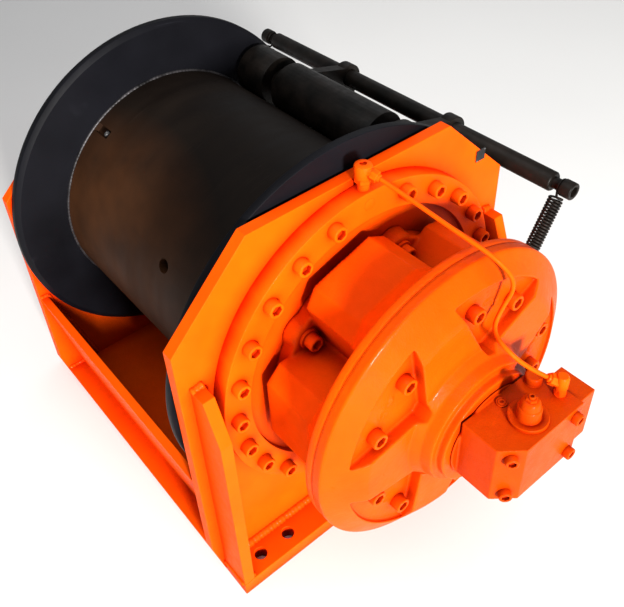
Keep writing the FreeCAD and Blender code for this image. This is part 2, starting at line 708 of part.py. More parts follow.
place_along_x("ring_gear", internal_gear(int(size("ring_teeth")), size("tube_inner"), 0),
              "gear_start")
place_along_x("sun_gear", external_gear(int(size("sun_teeth")), 0, 0).fuse(
    Part.makeCylinder(size("shaft_journal") - 8, size("crank_start - gear_start"))),
    "gear_start")
for number, angle, across, upward in planet_places():
    gap = angle + 180 + 180 / size("planet_teeth")
    gear = external_gear(int(size("planet_teeth")),
                         size("planet_pin + running_fit"), gap)
    place_along_x("planet_gear_%d" % number, gear, "gear_start", across, upward)


def planet_carrier():
    """Disc with a hub, bolted to the drum's drive web, that carries the planet pins."""
    face = "web_start + web_thick"
    back = face + " + carrier_thick"
    turned("planet_carrier", [(face, "carrier_bore"), (face, "carrier_outer"),
                              (back, "carrier_outer"), (back, "carrier_hub"),
                              (back + " + 4", "carrier_hub"), (back + " + 4", "carrier_bore")])


def planet_pins():
    pins = []
    for number, angle, across, upward in planet_places():
        pin = cylinder_along_x("planet_pin_%d" % number,
                               "web_start + web_thick + carrier_thick", "gear_width + 14",
                               "planet_pin", "%.6f" % across,
                               "axis_height + %.6f" % upward)
        pins.append(pin)
    keep(group("planet_pins", pins), "planet_pins")


def brake_rings(label, offset, inner, outer):
    """Flat brake rings at an even pitch along the shaft."""
    rings = []
    for index in range(int(size("disc_count"))):
        start = "disc_start + %d * disc_pitch + %s" % (index, offset)
        disc = cylinder_along_x("%s_disc_%d" % (label, index), start, "disc_thick", outer,
                                0, "axis_height")
        hole = cylinder_along_x("%s_hole_%d" % (label, index), start, "disc_thick", inner,
                                0, "axis_height")
        rings.append(cut("%s_ring_%d" % (label, index), disc, hole))
    keep(group(label, rings), label)


planet_carrier()
planet_pins()
brake_rings("brake_friction_discs", "0", "shaft_journal - 8", "disc_outer")
brake_rings("brake_fixed_plates", "disc_thick + 2", "plate_bore", "tube_inner")
ring("brake_piston", "piston_start", "piston_thick", "plate_bore",
     "tube_inner - running_fit")


def brake_springs():
    body = new_body("brake_springs")
    sketch = new_sketch(body, "YZ_Plane")
    draw_circle(sketch, "spring_circle", 0, "spring_coil")
    coil = pad(body, sketch, "spring_reach")
    repeat_round(body, [coil], "spring_count")
    keep(body, "brake_springs", x=RECESS_FACE + " - wall_thick - spring_reach",
         z="axis_height")


brake_springs()


# ---------------------------------------------------------------- motor

def motor_front_casing():
    """Cast casing: mounting foot, core with five cylinder lobes, and a wide rear flange."""
    body = new_body("motor_front_casing")
    revolve(body, [("casing_start", "shaft_journal + bearing_wall"),
                   ("casing_start", "casing_foot_outer"),
                   ("casing_start + casing_foot", "casing_foot_outer"),
                   ("casing_start + casing_foot", "core_outer"),
                   ("rim_start", "core_outer"), ("rim_start", "rim_outer - 3"),
                   ("rim_start + 3", "rim_outer"), ("rim_split", "rim_outer"),
                   ("rim_split", "crank_chamber"), ("chamber_start", "crank_chamber"),
                   ("chamber_start", "shaft_journal + bearing_wall")])
    outline = new_sketch(body, "YZ_Plane", "lobe_start")
    right = [("lobe_half", "60"), ("lobe_half", "lobe_reach - lobe_corner"),
             ("lobe_half - lobe_corner", "lobe_reach")]
    left = [("-(%s)" % across, upward) for across, upward in reversed(right)]
    draw_polygon(outline, right + left)
    lobe = pad(body, outline, "rim_start - lobe_start")
    bore_sketch = new_sketch(body, "XY_Plane", "bore_start")
    draw_circle(bore_sketch, "cylinder_x", 0, "cylinder_outer")
    bore = pocket(body, bore_sketch, "cylinder_top - bore_start", reverse=True)
    repeat_round(body, [lobe, bore], "lobe_count")
    doc.recompute()
    chamber = new_sketch(body, "YZ_Plane", "chamber_start")
    draw_circle(chamber, 0, 0, "crank_chamber")
    pocket(body, chamber, "rim_split - chamber_start", reverse=True)
    drill_circle(body, "casing_start", "casing_foot", screw_hole, "mount_pitch",
                 "lobe_count", "mount_angle - lobe_angle + 90")
    body.Placement = FreeCAD.Placement(FreeCAD.Vector(),
                                       FreeCAD.Rotation(AXIS_X, size("lobe_angle - 90")))
    keep(body, "motor_front_casing", z="axis_height")


def motor_rear_cover():
    """Domed cover: five raised pads over the cylinders, screw recesses between them."""
    body = new_body("motor_rear_cover")
    split = "rim_split + gasket_thick"
    revolve(body, [(split, "crank_chamber"), (split, "rim_outer"),
                   ("rim_end - 3", "rim_outer"), ("rim_end", "rim_outer - 4"),
                   ("cover_slope_end", "pad_outer"),
                   ("cover_slope_end + pad_rise", "pad_outer - 8"),
                   ("cover_slope_end + pad_rise", "boss_outer + 24"),
                   ("boss_end - 28", "boss_outer + 14"),
                   ("boss_end - 12", "boss_outer + 10"), ("boss_end - 12", "boss_outer"),
                   ("boss_end", "boss_outer"), ("boss_end", "hub_bore"),
                   ("rim_end + seat_depth", "hub_bore"),
                   ("rim_end + seat_depth", "crank_chamber")])
    recess = new_sketch(body, "YZ_Plane", "boss_end")
    draw_fan(recess, "recess_inner", "recess_outer", "recess_half", "recess_tip")
    sunk = pocket(body, recess, "boss_end - recess_floor")
    screws = new_sketch(body, "YZ_Plane", "recess_floor")
    for side in ("", "-"):
        draw_circle(screws, "cover_pitch * cos(cover_angle * 1deg)",
                    side + "cover_pitch * sin(cover_angle * 1deg)", screw_hole)
    holes = pocket(body, screws, "recess_floor - rim_split")
    repeat_round(body, [sunk, holes], "lobe_count")
    body.Placement = FreeCAD.Placement(FreeCAD.Vector(),
                                       FreeCAD.Rotation(AXIS_X, size("mount_angle")))
    keep(body, "motor_rear_cover", z="axis_height")


def cover_screws():
    """Ten cap screws in pairs, one pair in each recess of the rear cover."""
    body = new_body("cover_screws")
    features = []
    for side in ("", "-"):
        across = "cover_pitch * cos(cover_angle * 1deg)"
        upward = side + "cover_pitch * sin(cover_angle * 1deg)"
        head = new_sketch(body, "YZ_Plane")
        draw_circle(head, across, upward, "screw_head")
        features.append(pad(body, head, "head_height"))
        shank = new_sketch(body, "YZ_Plane")
        draw_circle(shank, across, upward, "screw_shank")
        features.append(pad(body, shank, "recess_floor - rim_split - 2", reverse=True))
        socket = new_sketch(body, "YZ_Plane", "head_height")
        draw_circle(socket, across, upward, "hex_key")
        features.append(pocket(body, socket, "head_height / 2"))
    repeat_round(body, features, "lobe_count")
    body.Placement = FreeCAD.Placement(FreeCAD.Vector(),
                                       FreeCAD.Rotation(AXIS_X, size("mount_angle")))
    keep(body, "cover_screws", x="recess_floor", z="axis_height")


def radial_pieces(label, low, length, outer, inner=None):
    """One cylindrical piece in every lobe, standing along its radius."""
    pieces = []
    for index in range(int(size("lobe_count"))):
        name = "%s_%d" % (label, index)
        turn = FreeCAD.Rotation(AXIS_X, size("lobe_angle - 90") + index * 360 /
                                size("lobe_count"))
        solid = doc.addObject("Part::Cylinder", name)
        solid.setExpression("Radius", bound(outer))
        solid.setExpression("Height", bound(length))
        out = turn.multVec(FreeCAD.Vector(0, 0, size(low)))
        place = FreeCAD.Vector(size("cylinder_x"), out.y, size("axis_height") + out.z)
        solid.Placement = FreeCAD.Placement(place, turn)
        if inner:
            hole = doc.addObject("Part::Cylinder", name + "_bore")
            hole.setExpression("Radius", bound(inner))
            hole.setExpression("Height", bound(length))
            hole.Placement = solid.Placement
            solid = cut(name + "_sleeve", solid, hole)
        pieces.append(solid)
    keep(group(label, pieces), label)


def crankshaft():
    """Motor shaft with one eccentric journal between its two bearings."""
    journal = cylinder_along_x("shaft_journals", "crank_start", "crank_end - crank_start",
                               "shaft_journal", 0, "axis_height")
    eccentric = cylinder_along_x("shaft_eccentric", "cylinder_x - eccentric_width / 2",
                                 "eccentric_width", "eccentric_outer - eccentric_ring",
                                 "eccentric_offset", "axis_height")
    keep(fuse("crankshaft", [journal, eccentric]), "crankshaft")


def eccentric_ring():
    """Bearing ring on the eccentric, on which the piston shoes ride."""
    start = "cylinder_x - ring_width / 2"
    outer = cylinder_along_x("eccentric_outside", start, "ring_width", "eccentric_outer",
                             "eccentric_offset", "axis_height")
    inner = cylinder_along_x("eccentric_inside", start, "ring_width",
                             "eccentric_outer - eccentric_ring", "eccentric_offset",
                             "axis_height")
    keep(cut("eccentric_ring", outer, inner), "eccentric_ring")


def crank_bearings():
    rings = []
    for name, start, length, outer in (
            ("front", "casing_start + 4", "front_bearing", "shaft_journal + bearing_wall"),
            ("rear", "rim_end + 8", "rear_bearing", "hub_bore")):
        body = cylinder_along_x("bearing_" + name, start, length, outer, 0, "axis_height")
        hole = cylinder_along_x("bearing_hole_" + name, start, length,
                                "shaft_journal + running_fit", 0, "axis_height")
        rings.append(cut("bearing_ring_" + name, body, hole))
    keep(group("crank_bearings", rings), "crank_bearings")


motor_front_casing()
screw_circle("motor_mount_screws", "casing_start + casing_foot", "mount_pitch",
             "lobe_count", size("mount_angle"), shank="casing_foot + wall_thick",
             washer="washer_thick")
ring("casing_gasket", "rim_split", "gasket_thick", "crank_chamber", "rim_outer - 1")
motor_rear_cover()
cover_screws()
radial_pieces("cylinders", "cylinder_low", "cylinder_top - cylinder_low",
              "cylinder_outer", "cylinder_bore")
radial_pieces("pistons", "piston_low", "piston_length", "cylinder_bore - running_fit")
crankshaft()
eccentric_ring()
crank_bearings()


# ---------------------------------------------------------------- valve block

def distributor_housing():
    """Neck that plugs on the cover's boss and a valve block with one corner cut off."""
    body = new_body("distributor_housing")
    neck = new_sketch(body, "YZ_Plane", "boss_end")
    draw_circle(neck, 0, 0, "neck_outer")
    pad(body, neck, "neck_length")
    block = new_sketch(body, "XY_Plane", "-block_low")
    back = "boss_end + neck_length"
    draw_polygon(block, [(back, "-block_left"), ("block_end - corner_depth", "-block_left"),
                         ("block_end", "corner_side - block_left"),
                         ("block_end", "block_right"), (back, "block_right")])
    pad(body, block, "block_low + block_high")
    hollow = new_sketch(body, "YZ_Plane", "boss_end")
    draw_circle(hollow, 0, 0, "shaft_journal + 4")
    pocket(body, hollow, "block_hollow", reverse=True)
    keep(body, "distributor_housing", z="axis_height")


BLOCK_TOP = "axis_height + block_high"


def relief_valve_cap():
    """Round seat, hexagonal body and domed nose of the relief valve."""
    seat = cylinder_upright("cap_foot", "cap_x", "cap_y", BLOCK_TOP, "cap_seat",
                            "seat_height")
    body = cylinder_upright("cap_body", "cap_x", "cap_y", BLOCK_TOP + " + seat_height",
                            "cap_outer", "cap_height - seat_height - nose_height")
    nose = cylinder_upright("cap_nose", "cap_x", "cap_y",
                            BLOCK_TOP + " + cap_height - nose_height", "nose_outer",
                            "nose_height")
    keep(fuse("relief_valve_cap", [seat, body, nose]), "relief_valve_cap")


def valve_plugs():
    """Screwed plugs in the top face of the block."""
    plugs = [cylinder_upright("plug_small", "small_plug_x", "small_plug_y", BLOCK_TOP,
                              "small_plug_outer", "small_plug_height"),
             cylinder_upright("plug_round", "plug_x", "plug_y", BLOCK_TOP, "plug_outer",
                              "plug_height")]
    keep(group("valve_plugs", plugs), "valve_plugs")


def distributor_bolts():
    """Bolt heads: two on the cut corner of the block and two on its front face."""
    heads = []
    facing = math.degrees(math.atan2(size("corner_side"), size("corner_depth")))
    lean = FreeCAD.Rotation(FreeCAD.Vector(0, 0, 1), facing - 90)
    heights = ("axis_height + block_high - bolt_inset", "axis_height - block_low + bolt_inset")
    for index, upward in enumerate(heights):
        front = cylinder_along_x("block_bolt_%d" % index, "block_end", "bolt_height",
                                 "block_bolt", "block_right - bolt_inset", upward)
        corner = cylinder_along_x("corner_bolt_%d" % index, "block_end - corner_depth / 2",
                                  "bolt_height", "block_bolt",
                                  "corner_side / 2 - block_left", upward)
        corner.Placement.Rotation = lean.multiply(ALONG_X)
        heads += [front, corner]
    keep(group("distributor_bolts", heads), "distributor_bolts")


def port_block():
    """Port manifold on the +Y side of the valve block, with two oil ports facing +Y."""
    solid = box("port_box", "port_body_x", "block_right", "axis_height - port_body_low",
                "port_body_length", "port_body_width", "port_body_low + port_body_high")
    ports = []
    for name in ("upper_port", "lower_port"):
        port = doc.addObject("Part::Cylinder", name + "_bore")
        port.Placement = FreeCAD.Placement(FreeCAD.Vector(),
                                           FreeCAD.Rotation(AXIS_X, -90))
        port.setExpression("Radius", bound("port_bore"))
        port.setExpression("Height", bound("port_depth"))
        port.setExpression("Placement.Base.x", bound("port_x"))
        port.setExpression("Placement.Base.y",
                           bound("block_right + port_body_width - port_depth"))
        port.setExpression("Placement.Base.z", bound("axis_height + " + name))
        ports.append(port)
    keep(cut("port_block", solid, fuse("port_bores", ports)), "port_block")


def distributor_rotor():
    turned("distributor_rotor", [("crank_end", "0"), ("crank_end", "shaft_journal"),
                                 ("crank_end + rotor_length", "shaft_journal"),
                                 ("crank_end + rotor_length", "0")])


distributor_housing()
relief_valve_cap()
valve_plugs()
distributor_bolts()
port_block()
distributor_rotor()


# ---------------------------------------------------------------- brake release line

def rounded_path(points, radius):
    """Straight runs joined by tangent arcs of one bend radius."""
    edges = []
    start = points[0]
    for before, corner, after in zip(points, points[1:], points[2:]):
        inward = (before - corner).normalize()
        outward = (after - corner).normalize()
        half = inward.getAngle(outward) / 2
        reach = radius / math.tan(half)
        bisector = (inward + outward).normalize()
        middle = corner + bisector * (radius / math.sin(half) - radius)
        enter = corner + inward * reach
        leave = corner + outward * reach
        edges.append(Part.LineSegment(start, enter).toShape())
        edges.append(Part.Arc(enter, middle, leave).toShape())
        start = leave
    edges.append(Part.LineSegment(start, points[-1]).toShape())
    return Part.Wire(edges)


LINE_ROUTE = [(318, 3, 698), (343, 11, 690), (452, 26, 665), (505, 42, 645),
              (525, 62, 606), (514, 52, 560), (520, 30, 540), (552, 18, 538),
              (579, 38, 508), (603, 65, 486)]


def brake_line():
    """Steel tube from the brake port on the ring flange to the valve block."""
    points = [FreeCAD.Vector(*place) for place in LINE_ROUTE]
    path = rounded_path(points, size("line_bend"))
    radius = size("line_outer")
    start = Part.Circle(points[0], points[1] - points[0], radius)
    profile = Part.Wire([start.toShape()])
    tube = doc.addObject("Part::Feature", "brake_line_shape")
    tube.Shape = path.makePipeShell([profile], True, True)
    keep(tube, "brake_line_pipe")


def pipe_fittings():
    """Elbow on the rim of the ring flange and upright union on the valve block."""
    stem = cylinder_upright("elbow_stem", "elbow_x", "0", "axis_height + ring_outer",
                            "elbow_stem", "elbow_stem_height")
    head = cylinder_upright("elbow_head", "elbow_x", "0",
                            "axis_height + ring_outer + elbow_stem_height - 1",
                            "elbow_head", "elbow_head_height")
    union = cylinder_upright("union_stem", "union_x", "union_y", BLOCK_TOP,
                             "union_outer", "union_height")
    keep(group("pipe_fittings", [fuse("elbow", [stem, head]), union]), "pipe_fittings")


brake_line()
pipe_fittings()


# ---------------------------------------------------------------- rope press device

TIE = ("tie_y", "tie_z")


def press_shaft():
    """Tie shaft behind the drum, necked at both ends."""
    body = new_body("press_shaft")
    revolve(body, [("-tie_end", "0"), ("-tie_end", "tie_outer - 2"),
                   ("-tie_end + 3", "tie_outer"), ("tie_end - 3", "tie_outer"),
                   ("tie_end", "tie_outer - 2"), ("tie_end", "0")])
    keep(body, "press_shaft", y="tie_y", z="tie_z")


def press_shaft_screw(name):
    """Cap screw in the end of the tie shaft; the spring hooks on its shank."""
    shank = cylinder_along_x(name + "_shank", "tie_end", "end_neck", "neck_radius", *TIE)
    head = cylinder_along_x(name + "_head", "tie_end + end_neck", "end_head_height",
                            "end_head", *TIE)
    return fuse(name, [shank, head])


def bar_between(name, x, width, thick, start, end):
    """Flat bar across the X direction from one (y, z) place to another."""
    length = math.hypot(size(end[0]) - size(start[0]), size(end[1]) - size(start[1]))
    lean = math.degrees(math.atan2(size(end[1]) - size(start[1]),
                                   size(end[0]) - size(start[0])))
    bar = doc.addObject("Part::Box", name)
    bar.setExpression("Length", bound(thick))
    bar.Width = length
    bar.setExpression("Height", bound(width))
    turn = FreeCAD.Rotation(AXIS_X, lean)
    down = turn.multVec(FreeCAD.Vector(0, 0, -size(width) / 2))
    place = FreeCAD.Vector(size(x), size(start[0]) + down.y, size(start[1]) + down.z)
    bar.Placement = FreeCAD.Placement(place, turn)
    return bar


def press_arm(name):
    """Welded arm: from the pivot up to the tie shaft, and forward to the roller axle."""
    x = "arm_x - arm_thick / 2"
    pivot = ("pivot_y", "pivot_z")
    roller = ("roller_y", "roller_z")
    pieces = [bar_between(name + "_swing", x, "swing_width", "arm_thick", pivot, TIE),
              bar_between(name + "_reach", x, "reach_width", "arm_thick", TIE, roller)]
    for eye, place, outer in (("pivot", pivot, "pivot_pin + pivot_wall"),
                              ("tie", TIE, "hub_outer"),
                              ("roller", roller, "roller_axle + eye_wall")):
        pieces.append(cylinder_along_x("%s_%s_eye" % (name, eye), x, "arm_thick", outer,
                                       *place))
    solid = fuse(name + "_solid", pieces)
    holes = [cylinder_along_x(name + "_" + eye + "_hole", "arm_x - arm_thick",
                              "2 * arm_thick", radius, *place)
             for eye, place, radius in (("pivot", pivot, "pivot_pin + running_fit"),
                                        ("tie", TIE, "tie_outer"),
                                        ("axle", roller, "roller_axle"))]
    return cut(name, solid, fuse(name + "_holes", holes))


def press_roller():
    """Three roller lengths on one axle: one between the arms and one outside each arm."""
    gap = "arm_thick / 2 + roller_clear"
    outside = "roller_end - arm_x - arm_thick / 2 - roller_clear"
    spans = [("-arm_x + " + gap, "2 * arm_x - arm_thick - 2 * roller_clear"),
             ("arm_x + " + gap, outside), ("-roller_end", outside)]
    rollers = []
    for index, (start, length) in enumerate(spans):
        body = cylinder_along_x("roller_body_%d" % index, start, length, "roller_outer",
                                "roller_y", "roller_z")
        bore = cylinder_along_x("roller_bore_%d" % index, start, length,
                                "roller_axle + running_fit", "roller_y", "roller_z")
        rollers.append(cut("roller_%d" % index, body, bore))
    keep(group("press_roller", rollers), "press_roller")


def roller_axle():
    keep(cylinder_along_x("roller_axle_bar", "-roller_end - axle_stub",
                          "2 * (roller_end + axle_stub)", "roller_axle", "roller_y",
                          "roller_z"), "roller_axle")


def press_spring(name):
    """Space taken by one tension spring, from the shaft screw down to its lug."""
    top = FreeCAD.Vector(size("lug_x"), size("tie_y"), size("tie_z"))
    low = FreeCAD.Vector(size("lug_x"), size("lug_y"), size("lug_z"))
    run = low - top
    clear = size("hook_length")
    coil = doc.addObject("Part::Cylinder", name)
    coil.setExpression("Radius", bound("spring_outer"))
    coil.Height = run.Length - 2 * clear
    turn = FreeCAD.Rotation(FreeCAD.Vector(0, 0, 1), run)
    coil.Placement = FreeCAD.Placement(top + FreeCAD.Vector(run).normalize() * clear, turn)
    return coil


press_shaft()
keep(both_ends("press_shaft_screws", press_shaft_screw), "press_shaft_screws")
keep(both_ends("press_arms", press_arm), "press_arms")
press_roller()
roller_axle()
keep(both_ends("press_springs", press_spring), "press_springs")


# ---------------------------------------------------------------- checks and export

doc.recompute()
for item in doc.Objects:
    assert not {"Invalid", "Error"} & set(item.State), item.Name + " failed"
labels = [node.Label for node in nodes]
assert len(labels) == len(set(labels)) <= 60
os.makedirs("parts", exist_ok=True)
for node in nodes:
    shape = node.Shape
    assert not shape.isNull() and shape.isValid(), node.Label + " has no valid shape"
    shape.exportStep("parts/%s.step" % node.Label)
    print("%-24s solids %2d  volume %.0f" % (node.Label, len(shape.Solids), shape.Volume))
print(len(nodes), "sub-parts")
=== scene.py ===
"""Looks of a hydraulic winch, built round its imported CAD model. Metres; +Z up, drum axis along X."""
import math
import bpy
from mathutils import Matrix, Vector, noise


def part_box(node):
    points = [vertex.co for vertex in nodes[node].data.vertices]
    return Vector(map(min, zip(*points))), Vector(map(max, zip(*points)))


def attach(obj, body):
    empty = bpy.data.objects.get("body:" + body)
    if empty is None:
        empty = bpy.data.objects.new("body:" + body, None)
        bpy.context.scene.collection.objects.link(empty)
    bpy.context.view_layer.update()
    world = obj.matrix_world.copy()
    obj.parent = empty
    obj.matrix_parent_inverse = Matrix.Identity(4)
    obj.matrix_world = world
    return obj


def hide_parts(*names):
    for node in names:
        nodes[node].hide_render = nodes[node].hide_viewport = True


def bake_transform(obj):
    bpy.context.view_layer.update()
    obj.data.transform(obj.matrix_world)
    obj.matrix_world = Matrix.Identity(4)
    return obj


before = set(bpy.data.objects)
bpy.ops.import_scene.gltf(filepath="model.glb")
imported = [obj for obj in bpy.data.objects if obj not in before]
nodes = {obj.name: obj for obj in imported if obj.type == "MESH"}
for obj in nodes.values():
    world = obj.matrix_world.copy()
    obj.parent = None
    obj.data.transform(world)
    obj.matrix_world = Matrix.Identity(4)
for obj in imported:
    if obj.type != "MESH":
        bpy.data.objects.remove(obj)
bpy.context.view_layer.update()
scene = bpy.context.scene
scene.view_settings.view_transform = "Standard"

MM = 0.001
TO_X = Matrix.Rotation(math.pi / 2, 4, "Y")     # a piece's own +Z turned to +X
TO_MINUS_X = Matrix.Rotation(-math.pi / 2, 4, "Y")


# ---------------------------------------------------------------- places read off the frame

def low(node):
    """The lower corner of a node's box."""
    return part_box(node)[0]


def high(node):
    """The upper corner of a node's box."""
    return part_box(node)[1]


def middle(node):
    """The middle of a node's box."""
    return (low(node) + high(node)) / 2


AXIS_Z = middle("drum_barrel").z
PLATE_FACE = high("motor_end_plate").x
SCREW_HEIGHT = 16 * MM
WASHER = 4 * MM
FOOT_THICKNESS = 15 * MM
FOOT_FACE = high("motor_mount_screws").x - WASHER - SCREW_HEIGHT
RING_FACE = FOOT_FACE - FOOT_THICKNESS
COVER_FACE = high("cover_screws").x - SCREW_HEIGHT
FLANGE_PITCH = 252 * MM         # pitch circles, as radii about the drum axis
MOUNT_PITCH = 160 * MM
COVER_PITCH = 172 * MM
FAR_PITCH = 135 * MM
LOBES = 5
LOBE_STEP = 360 / LOBES
LOBE_ANGLE = 108                # one lobe's place about the axis; the gaps lie halfway between
LOBE_ANGLES = [LOBE_ANGLE + LOBE_STEP * index for index in range(LOBES)]
GAP_ANGLES = [angle + LOBE_STEP / 2 for angle in LOBE_ANGLES]


def round_axis(x, radius, degrees):
    """A place at an angle about the drum axis, from +Y towards +Z."""
    angle = math.radians(degrees)
    return Vector((x, radius * math.cos(angle), AXIS_Z + radius * math.sin(angle)))


# ---------------------------------------------------------------- materials

class Finish:
    """One material's node tree, with short ways to add nodes and join them."""

    def __init__(self, name, roughness, metallic=0.0, coat=0.0, specular=0.5):
        self.material = bpy.data.materials.new(name)
        self.material.use_nodes = True
        self.tree = self.material.node_tree
        self.shader = self.tree.nodes["Principled BSDF"]
        self.place = self.add("ShaderNodeTexCoord").outputs["Object"]
        for socket, value in (("Roughness", roughness), ("Metallic", metallic),
                              ("Specular IOR Level", specular), ("Coat Weight", coat),
                              ("Coat Roughness", 0.1)):
            self.shader.inputs[socket].default_value = value

    def add(self, kind, **values):
        node = self.tree.nodes.new(kind)
        for name, value in values.items():
            node.inputs[name].default_value = value
        return node

    def join(self, source, target):
        self.tree.links.new(source, target)

    def stretched(self, scale, shift=(0, 0, 0)):
        """The object's own coordinates, scaled along each axis."""
        mapping = self.add("ShaderNodeMapping", Scale=scale, Location=shift)
        self.join(self.place, mapping.inputs["Vector"])
        return mapping.outputs["Vector"]

    def noise(self, scale, detail=4.0, vector=None):
        texture = self.add("ShaderNodeTexNoise", Scale=scale, Detail=detail)
        self.join(vector or self.place, texture.inputs["Vector"])
        return texture.outputs["Fac"]

    def ramp(self, source, *stops):
        """A colour ramp; each stop is a position and a colour or a grey."""
        ramp = self.add("ShaderNodeValToRGB")
        elements = ramp.color_ramp.elements
        while len(elements) < len(stops):
            elements.new(0.5)
        for element, (position, colour) in zip(elements, stops):
            element.position = position
            grey = isinstance(colour, (int, float))
            element.color = (colour, colour, colour, 1) if grey else (*colour, 1)
        self.join(source, ramp.inputs["Fac"])
        return ramp.outputs["Color"]

    def mix(self, factor, first, second, blend="MIX"):
        node = self.tree.nodes.new("ShaderNodeMix")
        node.data_type = "RGBA"
        node.blend_type = blend
        for value, socket in ((factor, node.inputs[0]), (first, node.inputs[6]),
                              (second, node.inputs[7])):
            if isinstance(value, bpy.types.NodeSocket):
                self.join(value, socket)
            elif isinstance(value, tuple):
                socket.default_value = (*value, 1)
            else:
                socket.default_value = value
        return node.outputs[2]

    def crevice(self, reach):
        """0 in inner corners and 1 on open faces."""
        occlusion = self.add("ShaderNodeAmbientOcclusion", Distance=reach)
        occlusion.samples = 6
        return occlusion.outputs["AO"]

    def fading_ball(self, centre, radii):
        """1 at a centre in the object's own coordinates, falling to 0 over the radii."""
        scale = [1 / radius for radius in radii]
        shift = [-part * each for part, each in zip(centre, scale)]
        gradient = self.add("ShaderNodeTexGradient")
        gradient.gradient_type = "SPHERICAL"
        self.join(self.stretched(scale, shift), gradient.inputs["Vector"])
        return gradient.outputs["Fac"]

    def colour(self, socket):
        self.join(socket, self.shader.inputs["Base Color"])

    def roughness(self, socket):
        self.join(socket, self.shader.inputs["Roughness"])

    def bump(self, *layers):
        """Bumps one on the other; each layer is a height and its depth in metres."""
        below = None
        for height, depth in layers:
            bump = self.add("ShaderNodeBump", Strength=1.0, Distance=depth)
            self.join(height, bump.inputs["Height"])
            if below:
                self.join(below, bump.inputs["Normal"])
            below = bump.outputs["Normal"]
        self.join(below, self.shader.inputs["Normal"])


def orange_paint(name, grain, roughness, shaded_tone=1.0, gloss=0.015):
    """Gloss orange paint with painted shade: redder and darker in inner corners, darker again where
    hemmed in by other parts, slightly uneven all over.

    Grain is a list of bumps: scale, detail and depth. Tone darkens the whole colour as painted shade;
    gloss is its coat.
    """
    finish = Finish(name, roughness, coat=gloss, specular=0.02)
    clouds = finish.ramp(finish.noise(7), (0.35, (0.96, 0.078, 0.0010)), (0.7, (1.0, 0.100, 0.0014)))
    thick = finish.ramp(finish.noise(45, 6), (0.3, 0.92), (0.7, 1.0))
    paint = finish.mix(1.0, clouds, thick, "MULTIPLY")
    # Painted shade: inner corners, found by a short occlusion reach, are painted a darker and redder
    # orange, mottled at random.
    open_face = finish.ramp(finish.crevice(30 * MM), (0.35, 0.0), (0.95, 1.0))
    corner_shade_mottle = finish.ramp(finish.noise(120, 5), (0.45, 0.0), (0.8, 0.7))
    corner = finish.mix(corner_shade_mottle, (0.80, 0.026, 0.0006), (0.50, 0.016, 0.0006))
    corner_shaded = finish.mix(open_face, corner, paint)
    # Painted shade: darker again wherever a long occlusion reach finds the paint hemmed in by other
    # parts; tone darkens it all as painted shade.
    shade = finish.ramp(finish.crevice(240 * MM), (0.08, 0.36 * shaded_tone), (0.55, shaded_tone))
    finish.colour(finish.mix(1.0, corner_shaded, shade, "MULTIPLY"))
    finish.roughness(finish.ramp(finish.noise(60, 5), (0.3, roughness - 0.06), (0.7, roughness + 0.08)))
    finish.bump(*[(finish.noise(scale, detail), depth) for scale, detail, depth in grain])
    return finish.material


def black_coat(name, dark, sheen, roughness, streak, rusty=None):
    """Dark drum steel with a painted sheen in lighter brown bands round the axis, and fine scratches
    along them.

    Rusty is a colour, the centre of the stained area and its reach along each axis.
    """
    finish = Finish(name, roughness, specular=0.09)
    # Painted sheen: the colour runs from dark to a lighter brown in bands round the axis, mixed with
    # patches.
    bands = finish.noise(1.0, 6, finish.stretched((streak, 5, 5)))
    patches = finish.noise(5, 5)
    spread = finish.mix(0.55, bands, patches)
    base = finish.ramp(spread, (0.38, dark), (0.72, sheen))
    if rusty:
        colour, centre, radii = rusty
        area = finish.ramp(finish.fading_ball(centre, radii), (0.0, 0.0), (0.55, 1.0))
        mottled = finish.ramp(finish.noise(16, 6), (0.25, 0.45), (0.7, 1.0))
        base = finish.mix(finish.mix(1.0, area, mottled, "MULTIPLY"), base, colour)
    scratches = finish.ramp(finish.noise(1.0, 3, finish.stretched((1400, 7, 7))),
                            (0.66, 0.0), (0.74, 1.0))
    rare = finish.ramp(finish.noise(9, 2), (0.52, 0.0), (0.66, 1.0))
    marks = finish.mix(1.0, scratches, rare, "MULTIPLY")
    light = tuple(2.4 * part + 0.01 for part in sheen)
    finish.colour(finish.mix(marks, base, light))
    finish.roughness(finish.ramp(bands, (0.3, roughness - 0.06), (0.75, roughness + 0.12)))
    finish.bump((finish.noise(420, 4), 0.10 * MM), (bands, 0.08 * MM))
    return finish.material


def rubbed_bead():
    """Weld metal, dark grey with darker hollows."""
    finish = Finish("rubbed_bead", 0.42, metallic=0.6)
    finish.colour(finish.ramp(finish.noise(30, 4), (0.35, (0.008, 0.007, 0.008)),
                              (0.65, (0.06, 0.055, 0.06))))
    finish.roughness(finish.ramp(finish.noise(300, 3), (0.3, 0.34), (0.7, 0.55)))
    finish.bump((finish.noise(500, 3), 0.08 * MM))
    return finish.material


def black_oxide():
    """Blackened bar steel with light rubbed patches."""
    finish = Finish("black_oxide", 0.42, specular=0.12)
    patches = finish.noise(30, 6)
    finish.colour(finish.ramp(patches, (0.35, (0.003, 0.0025, 0.002)), (0.75, (0.014, 0.010, 0.008))))
    finish.roughness(finish.ramp(finish.noise(90, 5), (0.3, 0.34), (0.7, 0.52)))
    finish.bump((finish.noise(700, 4), 0.08 * MM), (patches, 0.2 * MM))
    return finish.material


def machined(name, colour, roughness, tint):
    """Machined metal with fine turning marks and faint stains."""
    finish = Finish(name, roughness, metallic=1.0)
    stain = finish.noise(35, 5)
    finish.colour(finish.ramp(stain, (0.3, tint), (0.7, colour)))
    marks = finish.noise(1.0, 2, finish.stretched((1800, 60, 60)))
    finish.roughness(finish.ramp(marks, (0.3, roughness - 0.08), (0.7, roughness + 0.1)))
    finish.bump((marks, 0.03 * MM))
    return finish.material


